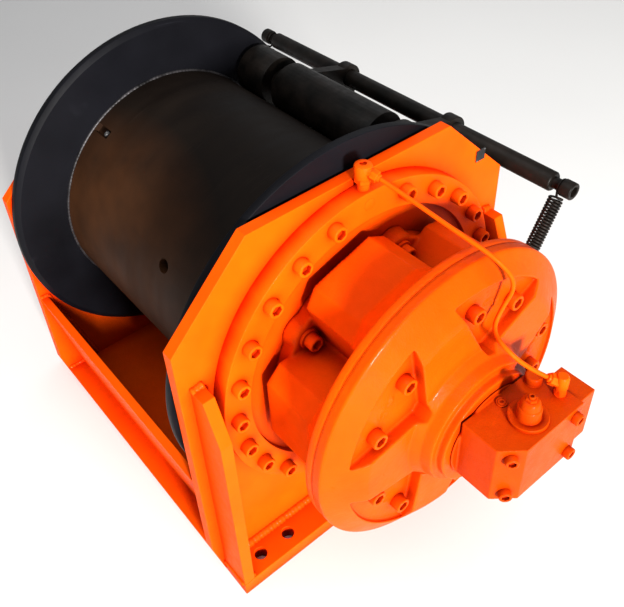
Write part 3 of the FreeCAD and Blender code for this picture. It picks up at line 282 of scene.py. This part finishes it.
def friction_lining():
    """Brown lining with pale specks."""
    finish = Finish("friction_lining", 0.85)
    specks = finish.noise(900, 3)
    finish.colour(finish.ramp(specks, (0.4, (0.10, 0.062, 0.035)), (0.62, (0.26, 0.18, 0.11))))
    finish.bump((specks, 0.15 * MM))
    return finish.material


def dark_plate():
    """Anodised plate, brushed across its length."""
    finish = Finish("dark_plate", 0.38, metallic=0.8)
    brushed = finish.noise(1.0, 3, finish.stretched((200, 2500, 120)))
    finish.colour(finish.ramp(brushed, (0.3, (0.02, 0.021, 0.022)), (0.7, (0.075, 0.075, 0.08))))
    finish.bump((brushed, 0.02 * MM))
    return finish.material


def pale_floor():
    """Matt, nearly white, with faint clouds."""
    finish = Finish("pale_floor", 0.8)
    finish.colour(finish.ramp(finish.noise(0.8, 3), (0.3, 0.83), (0.7, 0.87)))
    return finish.material


PLATE_GRAIN = [(900, 2, 0.03 * MM), (38, 4, 0.30 * MM)]
CAST_GRAIN = [(420, 4, 0.32 * MM), (70, 3, 0.7 * MM)]
WELD_GRAIN = [(260, 4, 0.9 * MM), (90, 3, 1.2 * MM)]
PLATE_PAINT = orange_paint("orange_on_plate", PLATE_GRAIN, roughness=0.44)
# Painted shade: the casting, cover and block paints are the same orange, made darker by their tone.
CAST_PAINT = orange_paint("orange_on_casting", CAST_GRAIN, roughness=0.36, shaded_tone=0.88, gloss=0.025)
COVER_PAINT = orange_paint("orange_on_cover", CAST_GRAIN, roughness=0.33, shaded_tone=0.70, gloss=0.035)
BLOCK_PAINT = orange_paint("orange_on_block", CAST_GRAIN, roughness=0.33, shaded_tone=0.50, gloss=0.030)
WELD_PAINT = orange_paint("orange_on_welds", WELD_GRAIN, roughness=0.40, gloss=0.05)
RUST_COLOUR = (0.060, 0.022, 0.008)
RUST_CENTRE = (-0.10, -0.22, 0.42)
RUST_REACH = (0.34, 0.22, 0.28)
# The barrel and flange steels carry a painted sheen in their lighter bands.
BARREL = black_coat("barrel_steel", dark=(0.004, 0.0022, 0.0016), sheen=(0.012, 0.0075, 0.005),
                    roughness=0.55, streak=24, rusty=(RUST_COLOUR, RUST_CENTRE, RUST_REACH))
FLANGE = black_coat("flange_steel", dark=(0.002, 0.002, 0.003), sheen=(0.006, 0.006, 0.009),
                    roughness=0.50, streak=60)
BEAD = rubbed_bead()
OXIDE = black_oxide()
BRIGHT = machined("bright_steel", colour=(0.60, 0.60, 0.61), roughness=0.26, tint=(0.45, 0.44, 0.43))
CAST_STEEL = machined("cast_steel", colour=(0.24, 0.24, 0.25), roughness=0.48,
                      tint=(0.13, 0.125, 0.12))
LINING = friction_lining()
DARK_PLATE = dark_plate()
FLOOR = pale_floor()


# ---------------------------------------------------------------- mesh helpers

def turned(rings, segments=48):
    """A closed shell about +Z from rings of (height, radius) or (height, flat distance, sides)."""
    points = []
    for height, radius, *sides in rings:
        part = 2 * math.pi / sides[0] if sides else 0
        for step in range(segments):
            angle = 2 * math.pi * step / segments
            reach = radius / math.cos(angle % part - part / 2) if sides else radius
            points.append(Vector((reach * math.cos(angle), reach * math.sin(angle), height)))
    faces = [tuple(reversed(range(segments)))]
    for level in range(len(rings) - 1):
        for step in range(segments):
            first = level * segments + step
            second = level * segments + (step + 1) % segments
            faces.append((first, second, second + segments, first + segments))
    faces.append(tuple(range(len(points) - segments, len(points))))
    return points, faces


def turned_mm(rings, segments=48):
    """The same shell from rings given in millimetres."""
    return turned([(height * MM, size * MM, *sides) for height, size, *sides in rings], segments)


def tube(route, radius, sides=10, closed=False):
    """A shell along a line of points; radius is a number or a function of the distance along."""
    route = [Vector(point) for point in route]
    count = len(route)
    size_at = radius if callable(radius) else (lambda distance: radius)
    points, faces = [], []
    across = None
    distance = 0.0
    for index, point in enumerate(route):
        before = route[index - 1] if closed or index else point
        after = route[(index + 1) % count] if closed or index < count - 1 else point
        along = (after - before).normalized()
        across = along.orthogonal() if across is None else across - along * across.dot(along)
        across.normalize()
        other = along.cross(across)
        for side in range(sides):
            angle = 2 * math.pi * side / sides
            out = across * math.cos(angle) + other * math.sin(angle)
            points.append(point + out * size_at(distance))
        if index < count - 1:
            distance += (route[index + 1] - point).length
    for index in range(count if closed else count - 1):
        for side in range(sides):
            beside = (side + 1) % sides
            here, there = index * sides, (index + 1) % count * sides
            faces.append((here + side, here + beside, there + beside, there + side))
    if not closed:
        faces.append(tuple(reversed(range(sides))))
        faces.append(tuple(range(len(points) - sides, len(points))))
    return points, faces


def prism(outline, start, end, taper=1.0):
    """A shell from a (y, z) outline about the drum axis, running along X."""
    count = len(outline)
    points = [Vector((start, across, AXIS_Z + upward)) for across, upward in outline]
    points += [Vector((end, across * taper, AXIS_Z + upward * taper)) for across, upward in outline]
    faces = [tuple(reversed(range(count))), tuple(range(count, 2 * count))]
    for index in range(count):
        beside = (index + 1) % count
        faces.append((index, beside, beside + count, index + count))
    return points, faces


def gathered(shells):
    """Several shells, each with or without its place, as one set of points and faces."""
    points, faces = [], []
    for (shell_points, shell_faces), place in shells:
        start = len(points)
        points += [place @ point for point in shell_points]
        faces += [tuple(start + corner for corner in face) for face in shell_faces]
    return points, faces


def finished(piece, material, body, nodes_replaced=(), crease=38):
    """Shade a piece, dress it, and let it ride on its body in place of CAD nodes."""
    piece.data.materials.clear()
    piece.data.materials.append(material)
    piece.data.shade_smooth()
    piece.data.set_sharp_from_angle(angle=math.radians(crease))
    if body:
        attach(piece, body)
    if nodes_replaced:
        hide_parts(*nodes_replaced)
    return piece


def new_piece(name, shells, material, body, nodes_replaced=(), crease=38):
    """A finished piece made of shells."""
    points, faces = gathered(shells)
    mesh = bpy.data.meshes.new(name)
    mesh.from_pydata(points, [], faces)
    mesh.validate()
    piece = bpy.data.objects.new(name, mesh)
    scene.collection.objects.link(piece)
    return finished(piece, material, body, nodes_replaced, crease)


def apply_modifiers(piece):
    """Keep the mesh the modifiers give, and drop the modifiers."""
    graph = bpy.context.evaluated_depsgraph_get()
    mesh = bpy.data.meshes.new_from_object(piece.evaluated_get(graph))
    piece.modifiers.clear()
    piece.data = mesh


def casting(node, voxel, rounds, shells=(), material=CAST_PAINT):
    """A frame node's CAD shape melted together with added shells, all corners rounded as cast."""
    source = nodes[node].data
    points = [vertex.co.copy() for vertex in source.vertices]
    faces = [tuple(polygon.vertices) for polygon in source.polygons]
    points, faces = gathered([((points, faces), Matrix())] + list(shells))
    mesh = bpy.data.meshes.new(node + "_casting")
    mesh.from_pydata(points, [], faces)
    piece = bpy.data.objects.new(node + "_casting", mesh)
    scene.collection.objects.link(piece)
    remesh = piece.modifiers.new("melt", "REMESH")
    remesh.mode = "VOXEL"
    remesh.voxel_size = voxel * 1
    smooth = piece.modifiers.new("round", "SMOOTH")
    smooth.factor = 0.5
    smooth.iterations = rounds
    apply_modifiers(piece)
    return finished(piece, material, "frame", [node], crease=60)


def rounded_node(node, material, width):
    """A CAD piece kept as it is, with its sharp edges broken by a small round."""
    piece = nodes[node]
    dress(node, material)
    weld = piece.modifiers.new("weld", "WELD")
    weld.merge_threshold = 0.01 * MM
    flat = piece.modifiers.new("flat", "DECIMATE")
    flat.decimate_type = "DISSOLVE"
    flat.angle_limit = math.radians(0.5)
    bevel = piece.modifiers.new("edge", "BEVEL")
    bevel.width = width
    bevel.segments = 2
    bevel.limit_method = "ANGLE"
    bevel.angle_limit = math.radians(40)
    bevel.use_clamp_overlap = False
    bevel.harden_normals = True


def dress(node, material):
    """Give a CAD node its material."""
    piece = nodes[node]
    piece.data.materials.clear()
    piece.data.materials.append(material)


# ---------------------------------------------------------------- plates and other CAD nodes

PLATES = ["motor_end_plate", "far_end_plate", "motor_end_foot", "far_end_foot", "front_channel",
          "rear_channel", "motor_end_gussets", "far_end_gussets", "gearbox_housing",
          "spring_lugs", "press_arm_brackets", "far_bearing_cap", "far_bearing_housing"]
for node in PLATES:
    rounded_node(node, PLATE_PAINT, 1.3 * MM)
rounded_node("casing_gasket", PLATE_PAINT, 0.2 * MM)
for node in ("drum_flange_motor_end", "drum_flange_far_end"):
    rounded_node(node, FLANGE, 1.0 * MM)
for node in ("press_shaft", "press_arms", "press_roller", "roller_axle"):
    rounded_node(node, OXIDE, 1.2 * MM)
for node in ("press_pivot_pins", "far_bearing", "drum_bearing", "ring_gear", "brake_fixed_plates",
             "brake_springs", "pistons", "crank_bearings", "planet_pins", "crankshaft", "sun_gear",
             "eccentric_ring", "distributor_rotor", "planet_gear_1", "planet_gear_2",
             "planet_gear_3", "brake_piston"):
    dress(node, BRIGHT)
for node in ("cylinders", "drum_drive_web", "planet_carrier", "drum_far_hub"):
    dress(node, CAST_STEEL)
dress("brake_friction_discs", LINING)


# ---------------------------------------------------------------- fasteners

def cap_screw(head, height, key, shank_radius, shank, washer=0.0):
    """Socket head cap screw about +Z, its seat at the origin; a washer adds its thickness."""
    edge = 1.1 * MM
    top = washer + height
    rings = [(-shank, shank_radius), (washer, shank_radius), (washer, head - 0.5 * MM),
             (washer + 0.5 * MM, head), (top - 1.6 * MM, head), (top - 0.5 * MM, head - edge * 0.6),
             (top, head - edge * 1.6), (top, key + 0.9 * MM, 6), (top - 0.7 * MM, key, 6),
             (top - height * 0.5, key, 6), (top - height * 0.62, 0.25 * key)]
    shells = [(turned(rings), Matrix())]
    if washer:
        rim, bevel = head + 4 * MM, 0.7 * MM
        disc = [(0, rim), (washer - 0.6 * MM, rim), (washer, rim - bevel)]
        shells.append((turned(disc), Matrix()))
    return gathered(shells)


def screws_round(node, seat, pitch, angles, screw, turn=TO_X, material=PLATE_PAINT):
    """Screws on a pitch circle about the drum axis; each key is left at its own angle."""
    key_turn = 37
    shells = []
    for index, degrees in enumerate(angles):
        spin = Matrix.Rotation(math.radians(key_turn * index), 4, "Z")
        place = Matrix.Translation(round_axis(seat, pitch, degrees))
        shells.append((screw, place @ turn @ spin))
    return new_piece(node + "_detailed", shells, material, "frame", [node])


PLAIN_SCREW = cap_screw(12 * MM, SCREW_HEIGHT, key=7 * MM, shank_radius=8 * MM, shank=20 * MM)
MOUNT_SCREW = cap_screw(12 * MM, SCREW_HEIGHT, key=7 * MM, shank_radius=8 * MM, shank=30 * MM,
                        washer=WASHER)
FLANGE_HOLES = 24
HOLE_STEP = 360 / FLANGE_HOLES
EMPTY_HOLE = 90
FLANGE_ANGLES = [EMPTY_HOLE + HOLE_STEP * index for index in range(1, FLANGE_HOLES)]
COVER_ANGLES = [gap + side for gap in GAP_ANGLES for side in (-14, 14)]
FAR_ANGLES = [22.5 + 45 * index for index in range(8)]
FAR_FACE = low("far_housing_screws").x + SCREW_HEIGHT
screws_round("gearbox_flange_screws", RING_FACE, FLANGE_PITCH, FLANGE_ANGLES, PLAIN_SCREW)
screws_round("motor_mount_screws", FOOT_FACE, MOUNT_PITCH, GAP_ANGLES, MOUNT_SCREW)
screws_round("cover_screws", COVER_FACE, COVER_PITCH, COVER_ANGLES, PLAIN_SCREW,
             material=COVER_PAINT)
screws_round("far_housing_screws", FAR_FACE, FAR_PITCH, FAR_ANGLES, PLAIN_SCREW, turn=TO_MINUS_X)


def flange_plug():
    """The flange's top hole has no screw; it is filled almost flush and painted over."""
    disc = turned_mm([(-4, 9.5), (0.1, 9.5), (0.3, 9)])
    place = Matrix.Translation(round_axis(RING_FACE, FLANGE_PITCH, EMPTY_HOLE)) @ TO_X
    return new_piece("gearbox_flange_plug", [(disc, place)], PLATE_PAINT, "frame")


flange_plug()


def block_bolts():
    """Cap screws in the valve block's front face and in its cut corner."""
    head, height = 9 * MM, 10 * MM
    bolt = cap_screw(head, height, key=5 * MM, shank_radius=6 * MM, shank=6 * MM)
    bolts_low, bolts_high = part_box("distributor_bolts")
    seat = bolts_high.x - height
    corner_deep, corner_wide = 24 * MM, 30 * MM
    neck_beyond = 12 * MM                       # the round neck reaches further than the block
    block_left = low("distributor_housing").y + neck_beyond
    facing_turn = Matrix.Rotation(-math.atan2(corner_deep, corner_wide), 4, "Z")
    shells = []
    for z in (bolts_low.z + head, bolts_high.z - head):
        front = Matrix.Translation((seat, bolts_high.y - head, z))
        corner = Matrix.Translation((seat - corner_deep / 2, block_left + corner_wide / 2, z))
        shells += [(bolt, front @ TO_X), (bolt, corner @ facing_turn @ TO_X)]
    return new_piece("distributor_bolts_detailed", shells, BLOCK_PAINT, "frame",
                     ["distributor_bolts"])


block_bolts()


# ---------------------------------------------------------------- motor castings

def lobe_flares():
    """Each cylinder lobe widens where it runs into the rear flange."""
    half_width, half_top = 76 * MM, 48 * MM
    root, shoulder, top = 60 * MM, 176 * MM, 203 * MM
    outline = [(-half_width, root), (-half_width, shoulder), (-half_top, top),
               (half_top, top), (half_width, shoulder), (half_width, root)]
    cover_edge = low("motor_rear_cover").x
    flare = prism(outline, cover_edge - 52 * MM, cover_edge - 14 * MM, taper=1.14)
    shells = []
    for degrees in LOBE_ANGLES:
        spin = (Matrix.Translation((0, 0, AXIS_Z))
                @ Matrix.Rotation(math.radians(degrees - 90), 4, "X")
                @ Matrix.Translation((0, 0, -AXIS_Z)))
        shells.append((flare, spin))
    return shells


def front_casing_bosses():
    """Ears under the mounting screws, and bosses behind the flange for the cover screws."""
    ear = turned_mm([(0, 30), (18, 27), (25, 23)], 36)
    boss = turned_mm([(0, 11), (5, 15), (20, 16)], 30)
    foot = low("motor_front_casing").x
    boss_foot = low("motor_rear_cover").x - 34 * MM
    ear_pitch = MOUNT_PITCH - 2 * MM
    shells = []
    for degrees in GAP_ANGLES:
        shells.append((ear, Matrix.Translation(round_axis(foot, ear_pitch, degrees)) @ TO_X))
    for degrees in COVER_ANGLES:
        shells.append((boss, Matrix.Translation(round_axis(boss_foot, COVER_PITCH, degrees)) @ TO_X))
    return shells


def cast_marks():
    """A short raised curl of casting mark between the two screws of each recess."""
    half_length, rise, radius = 2.6, 6 * MM, 2.2 * MM           # the length in degrees
    steps = 8
    shells = []
    for middle_angle in GAP_ANGLES:
        for side in (-1, 1):
            route = []
            for step in range(steps + 1):
                turn = math.pi * step / steps
                degrees = middle_angle + side * half_length - half_length * math.cos(turn)
                reach = COVER_PITCH + side * rise * math.sin(turn)
                route.append(round_axis(COVER_FACE, reach, degrees))
            shells.append((tube(route, radius, 8), Matrix()))
    return shells


def rim_bands():
    """Turned bands either side of the castings' joint; flat ends close the shell inside them."""
    radius = high("casing_gasket").z - AXIS_Z
    joint = middle("casing_gasket").x
    profile = [(-13, -2), (-12, 0.7), (-0.6, 0.7), (-0.3, 0), (0.3, 0), (0.6, 0.7), (13, 0.7),
               (14, -2)]
    shell = turned([(along * MM, radius + out * MM) for along, out in profile], 192)
    place = Matrix.Translation((joint, 0, AXIS_Z)) @ TO_X
    return new_piece("motor_rim_bands", [(shell, place)], COVER_PAINT, "frame")


rim_bands()
casting("motor_front_casing", voxel=2.2 * MM, rounds=4,
        shells=lobe_flares() + front_casing_bosses())
casting("motor_rear_cover", voxel=1.6 * MM, rounds=3, shells=cast_marks(), material=COVER_PAINT)


# ---------------------------------------------------------------- valve block

BLOCK_TOP = low("valve_plugs").z


def relief_cap():
    """Wide round seat, round body, stepped dome and a locked setting screw on top."""
    centre = middle("relief_valve_cap")
    place = Matrix.Translation((centre.x, centre.y, low("relief_valve_cap").z))
    rings = [(0, 27), (4, 27), (5, 26), (5, 20), (4, 18.5), (4, 16.6), (5, 16), (20, 16), (22, 15.2),
             (23, 13.8), (30, 12.6), (33, 11.2), (34.5, 9), (34.8, 7, 6), (38, 7, 6), (38.6, 6.2, 6),
             (38.6, 4.4), (41.5, 4.4), (42, 4), (42, 2.4, 6), (39.5, 2.2, 6)]
    return new_piece("relief_valve_cap_detailed", [(turned_mm(rings), place)], BLOCK_PAINT, "frame",
                     ["relief_valve_cap"])


def top_plugs():
    """A round screwed plug and a small sunk one with its groove."""
    node_low, node_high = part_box("valve_plugs")
    big, small = 12 * MM, 8 * MM                # their radii
    round_plug = turned_mm([(0, 12), (1, 12), (1.4, 11.2), (4, 11.2), (4.4, 12), (12, 12),
                            (13.2, 11.4), (14, 10), (14, 9)])
    small_plug = turned_mm([(0, 8), (1.4, 8), (2, 7.4), (2, 6.6), (1.2, 6.2), (1.2, 5.6), (1.9, 5.2),
                            (1.9, 2.6, 6), (0.3, 2.4, 6)])
    round_place = Matrix.Translation((node_high.x - big, node_high.y - big, node_low.z))
    small_place = Matrix.Translation((node_low.x + small, node_low.y + small, node_low.z))
    return new_piece("valve_plugs_detailed", [(round_plug, round_place), (small_plug, small_place)],
                     BLOCK_PAINT, "frame", ["valve_plugs"])


for node in ("distributor_housing", "port_block"):
    casting(node, voxel=1.2 * MM, rounds=2, material=BLOCK_PAINT)
relief_cap()
top_plugs()


# ---------------------------------------------------------------- brake line and its fittings

# Millimetres in the frame, from the elbow on the gearbox to the union on the valve block.
LINE_ROUTE = [(318, 3, 698), (343, 11, 690), (452, 26, 665), (505, 42, 645), (525, 62, 606),
              (514, 52, 560), (520, 30, 540), (552, 18, 538), (579, 38, 508), (603, 65, 486)]
LINE_RADIUS = 3.1 * MM


def smooth_route(points):
    """Points along one smooth curve that is led by the given ones."""
    curve = bpy.data.curves.new("route", "CURVE")
    curve.dimensions = "3D"
    spline = curve.splines.new("NURBS")
    spline.points.add(len(points) - 1)
    for point, place in zip(spline.points, points):
        point.co = (*place, 1)
    spline.order_u = 3
    spline.use_endpoint_u = True
    spline.resolution_u = 10
    holder = bpy.data.objects.new("route", curve)
    mesh = bpy.data.meshes.new_from_object(holder)
    route = [vertex.co.copy() for vertex in mesh.vertices]
    bpy.data.objects.remove(holder)
    bpy.data.curves.remove(curve)
    bpy.data.meshes.remove(mesh)
    return route


def facing(place, direction):
    """A place with its own +Z along a direction."""
    return Matrix.Translation(place) @ direction.to_track_quat("Z", "Y").to_matrix().to_4x4()


def brake_line():
    """The thin line from gearbox to valve block, and the fittings it ends in."""
    points = [Vector(place) * MM for place in LINE_ROUTE]
    pipe = tube(smooth_route(points), LINE_RADIUS, 16)
    new_piece("brake_line_pipe_smooth", [(pipe, Matrix())], PLATE_PAINT, "frame",
              ["brake_line_pipe"])
    nut = turned_mm([(-4, 7.4), (0, 7.4), (0.4, 7.6, 6), (9, 7.6, 6), (10, 6.8, 6), (10.2, 6),
                     (13, 5.4), (13.6, 4.4)])
    elbow = turned_mm([(0, 9), (12, 9), (12.4, 10.5, 6), (19, 10.5, 6), (19.6, 12.4), (21, 13),
                       (37, 13), (39.5, 12), (41, 9.4), (41.2, 5, 6), (38, 4.8, 6)])
    union = turned_mm([(0, 8.6), (2, 8.6), (2.3, 7.8, 6), (11, 7.8, 6), (11.4, 8.4), (13, 9),
                       (30, 9), (32, 8.4), (34, 6.6), (34, 3)])
    union_radius = 9 * MM
    corner = high("pipe_fittings")
    elbow_foot = Vector((PLATE_FACE + 14 * MM, 0, high("gearbox_housing").z - 1 * MM))
    union_foot = Vector((corner.x - union_radius, corner.y - union_radius, BLOCK_TOP))
    start, last = points[0], points[-1]
    shells = [(elbow, Matrix.Translation(elbow_foot)),
              (nut, facing(start, points[1] - start)),
              (union, Matrix.Translation(union_foot)),
              (nut, facing(last, points[-2] - last))]
    return new_piece("pipe_fittings_detailed", shells, PLATE_PAINT, "frame", ["pipe_fittings"])


brake_line()


# ---------------------------------------------------------------- drum

def rope_anchor():
    """Clamping screw sunk in the rope's pocket, with its key socket."""
    centre = middle("rope_anchor")
    out = Vector((0, centre.y, centre.z - AXIS_Z)).normalized()
    screw = turned_mm([(-4, 5.2), (0.5, 5.2), (1, 6), (3, 6), (3.8, 5.4), (3.8, 3.4, 6),
                       (0.8, 3.2, 6), (0.4, 1)])
    return new_piece("rope_anchor_screw", [(screw, facing(centre, out))], BRIGHT, "drum",
                     ["rope_anchor"])


dress("drum_barrel", BARREL)
rope_anchor()


# ---------------------------------------------------------------- weld beads

WELD_RADIUS = 5.5 * MM
GUSSET_THICKNESS = 20 * MM


def bead(route, radius, closed=False, seed=0):
    """A weld bead along a route: overlapping scales, each a little different."""
    step, scale = 2.2 * MM, 7 * MM
    route = [Vector(point) for point in route]
    fine = []
    pairs = zip(route, route[1:] + route[:1]) if closed else zip(route, route[1:])
    for start, end in pairs:
        parts = max(1, round((end - start).length / step))
        fine += [start.lerp(end, part / parts) for part in range(parts)]
    if not closed:
        fine.append(route[-1])

    def size_at(distance):
        ripple = abs(math.sin(math.pi * distance / scale))
        drift = noise.noise(Vector((distance * 90, seed, 0)))
        return radius * (0.82 + 0.18 * ripple + 0.22 * drift)

    return tube(fine, size_at, 8, closed), Matrix()


def outer_welds(plate, foot, side):
    """Beads on an end plate's outer face, at its foot and its two gussets."""
    outer = high(plate).x if side > 0 else low(plate).x
    foot_end = (high(foot).x if side > 0 else low(foot).x) - side * 2 * MM
    front, rear, foot_top = low(foot).y, high(foot).y, high(foot).z
    gusset_top = high("motor_end_gussets").z
    margin = 22 * MM
    at_foot = [(outer, front + margin, foot_top), (outer, rear - margin, foot_top)]
    shells = [bead(at_foot, WELD_RADIUS * 1.9, seed=side)]
    for edge, inward in ((front, GUSSET_THICKNESS), (rear, -GUSSET_THICKNESS)):
        inside = edge + inward
        upright = [(outer, inside, foot_top), (outer, inside, gusset_top - 6 * MM)]
        over_top = [(outer, edge, gusset_top - 4 * MM), (outer, inside, gusset_top)]
        along_inside = [(outer, inside, foot_top), (foot_end, inside, foot_top)]
        along_edge = [(outer, edge, foot_top), (foot_end, edge, foot_top)]
        shells += [bead(upright, WELD_RADIUS, seed=edge),
                   bead(over_top, WELD_RADIUS * 1.7, seed=edge + 2),
                   bead(along_inside, WELD_RADIUS, seed=edge + 3),
                   bead(along_edge, WELD_RADIUS * 0.7, seed=edge + 5)]
    return shells


def inner_welds(plate, foot, side):
    """Beads on an end plate's inner face, round the ends of the front beam and rear channel."""
    inner = low(plate).x if side > 0 else high(plate).x
    front, rear = low(foot).y, high(foot).y
    beam_front, beam_top = low("front_channel").y, high("front_channel").z
    floor_top = low("drum_flange_far_end").z - 25 * MM
    lean_top = (inner, beam_front + 16 * MM, beam_top)
    lean_foot = front + 60 * MM
    leaning = [lean_top, (inner, lean_foot, floor_top)]
    top_edge = [(inner, beam_front + 1 * MM, beam_top), lean_top]
    bottom = [(inner, beam_front + 11 * MM, floor_top), (inner, lean_foot - 17 * MM, floor_top)]
    web = rear - GUSSET_THICKNESS
    rear_web = [(inner, web, floor_top), (inner, web, high("rear_channel").z - 3 * MM)]
    return [bead(leaning, WELD_RADIUS, seed=side), bead(top_edge, WELD_RADIUS, seed=7 * side),
            bead(bottom, WELD_RADIUS, seed=9 * side), bead(rear_web, WELD_RADIUS, seed=web + side)]


def frame_welds():
    """Beads where feet, gussets and channels meet the end plates."""
    shells = []
    for plate, foot, side in (("motor_end_plate", "motor_end_foot", 1),
                              ("far_end_plate", "far_end_foot", -1)):
        shells += outer_welds(plate, foot, side) + inner_welds(plate, foot, side)
    return new_piece("frame_weld_beads", shells, WELD_PAINT, "frame", crease=80)


def drum_welds():
    """Beads round the barrel where it meets its two flanges."""
    shells = []
    radius = high("drum_barrel").y
    for x in (low("drum_barrel").x, high("drum_barrel").x):
        route = [round_axis(x, radius, degrees) for degrees in range(0, 360, 2)]
        shells.append(bead(route, 3.4 * MM, closed=True, seed=x))
    return new_piece("drum_weld_beads", shells, BEAD, "drum", crease=80)


frame_welds()
drum_welds()


# ---------------------------------------------------------------- press device

def end_screws():
    """Black cap screws in the ends of the tie shaft, each with a short plain neck."""
    tie = middle("press_shaft")
    neck = 18 * MM
    screw = cap_screw(15 * MM, 20 * MM, key=8.5 * MM, shank_radius=10 * MM, shank=neck)
    seat = high("press_shaft").x + neck
    shells = [(screw, Matrix.Translation((seat, tie.y, tie.z)) @ TO_X),
              (screw, Matrix.Translation((-seat, tie.y, tie.z)) @ TO_MINUS_X)]
    return new_piece("press_shaft_screws_detailed", shells, OXIDE, "press_arm",
                     ["press_shaft_screws"])


def tension_spring(name, x, side, replaced):
    """Open coil between the shaft screw and its lug, with a round hook at each end.
    """
    tie = middle("press_shaft")
    lug = middle("spring_lugs")
    top = Vector((x, tie.y, tie.z))
    lug_inset = 14 * MM
    bottom = Vector((x, high("spring_lugs").y - lug_inset, lug.z))
    run = bottom - top
    down = run.normalized()
    over = Vector((side, 0, 0))
    across = down.cross(over)
    wire, coil = 2.1 * MM, 10.9 * MM
    top_hook, bottom_hook = 11.8 * MM, 10.8 * MM
    turns, steps_each, clear = 22, 20, 19 * MM
    steps = turns * steps_each
    length = run.length - 2 * clear

    def hook(centre, radius, towards):
        """Round the pin, from its far side back to the coil."""
        points = []
        for step in range(19):
            angle = math.radians(-120 + 240 * step / 18)
            points.append(centre - towards * radius * math.cos(angle)
                          + across * radius * math.sin(angle))
        return points

    route = hook(top, top_hook, down)
    for step in range(steps + 1):
        angle = 2 * math.pi * step / steps_each
        grow = min(1.0, step / 8, (steps - step) / 8)
        along = clear + length * step / steps
        out = across * math.cos(angle) + over * math.sin(angle)
        route.append(top + down * along + out * coil * max(0.15, grow))
    route += list(reversed(hook(bottom, bottom_hook, -down)))
    spring = new_piece(name, [(tube(route, wire, 8), Matrix())], OXIDE, None, replaced, crease=60)
    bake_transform(spring)


end_screws()
SPRING_X = high("press_springs").x - 13 * MM
tension_spring("press_spring_motor_end", SPRING_X, 1, ["press_springs"])
tension_spring("press_spring_far_end", -SPRING_X, -1, [])


# ---------------------------------------------------------------- name plate

def name_plate():
    """Small blank plate with two rivets and no lettering."""
    corner_low, corner_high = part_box("name_plate")
    centre = middle("name_plate")
    rounded_node("name_plate", DARK_PLATE, 0.2 * MM)
    rivet = turned_mm([(-0.3, 1.1), (0.2, 1.0), (0.5, 0.5)], 20)
    inset = 2.6 * MM
    shells = []
    for y, z in ((corner_low.y, corner_low.z), (corner_high.y, corner_high.z)):
        toward = Vector((0, centre.y - y, centre.z - z)).normalized() * inset
        shells.append((rivet, Matrix.Translation(Vector((corner_high.x, y, z)) + toward) @ TO_X))
    return new_piece("name_plate_rivets", shells, BRIGHT, "frame")


name_plate()


# ---------------------------------------------------------------- floor, light and camera

def floor():
    """A wide pale plane just under the feet."""
    half, level = 12.0, -1 * MM
    corners = [(-half, -half, level), (half, -half, level), (half, half, level), (-half, half, level)]
    mesh = bpy.data.meshes.new("floor")
    mesh.from_pydata(corners, [], [(0, 1, 2, 3)])
    mesh.materials.append(FLOOR)
    ground = bpy.data.objects.new("floor", mesh)
    scene.collection.objects.link(ground)


def lamp(name, place, target, energy, size, colour, shine):
    """A square lamp aimed at a target; shine scales its reflections only."""
    data = bpy.data.lights.new(name, "AREA")
    data.energy = energy
    data.size = size
    data.color = colour
    data.specular_factor = shine
    light = bpy.data.objects.new(name, data)
    light.location = place
    light.rotation_euler = (Vector(target) - Vector(place)).to_track_quat("-Z", "Y").to_euler()
    scene.collection.objects.link(light)


def lights():
    """A key lamp beyond the motor, two weak ones above and behind, and an even white world."""
    aim = (0.15, 0, 0.35)
    lamp("key", (4.6, -1.4, 1.7), aim, energy=560, size=0.6, colour=(1.0, 0.98, 0.93), shine=6.0)
    lamp("overhead", (0.2, -0.6, 4.0), aim, energy=60, size=3.0, colour=(1.0, 1.0, 1.0), shine=0.12)
    lamp("back", (-1.5, 2.6, 2.6), aim, energy=14, size=2.4, colour=(0.97, 0.98, 1.0), shine=0.2)
    world = bpy.data.worlds.new("studio")
    world.use_nodes = True
    background = world.node_tree.nodes["Background"]
    background.inputs["Color"].default_value = (1, 1, 1, 1)
    background.inputs["Strength"].default_value = 0.30
    scene.world = world


def camera():
    """Above the motor's front corner, looking down along the drum."""
    place = (0.945, -0.596, 1.305)
    azimuth, elevation, roll = (math.radians(angle) for angle in (54.06, 39.60, -4.21))
    back = Vector((math.sin(azimuth) * math.cos(elevation),
                   -math.cos(azimuth) * math.cos(elevation), math.sin(elevation)))
    data = bpy.data.cameras.new("camera")
    data.lens = 45.85
    data.sensor_width = 36
    data.shift_x = 0.0391
    data.shift_y = -0.1007
    view = bpy.data.objects.new("camera", data)
    turn = (-back).to_track_quat("-Z", "Y").to_matrix().to_4x4()
    view.matrix_world = Matrix.Translation(place) @ turn @ Matrix.Rotation(roll, 4, "Z")
    scene.collection.objects.link(view)
    scene.camera = view


floor()
lights()
camera()
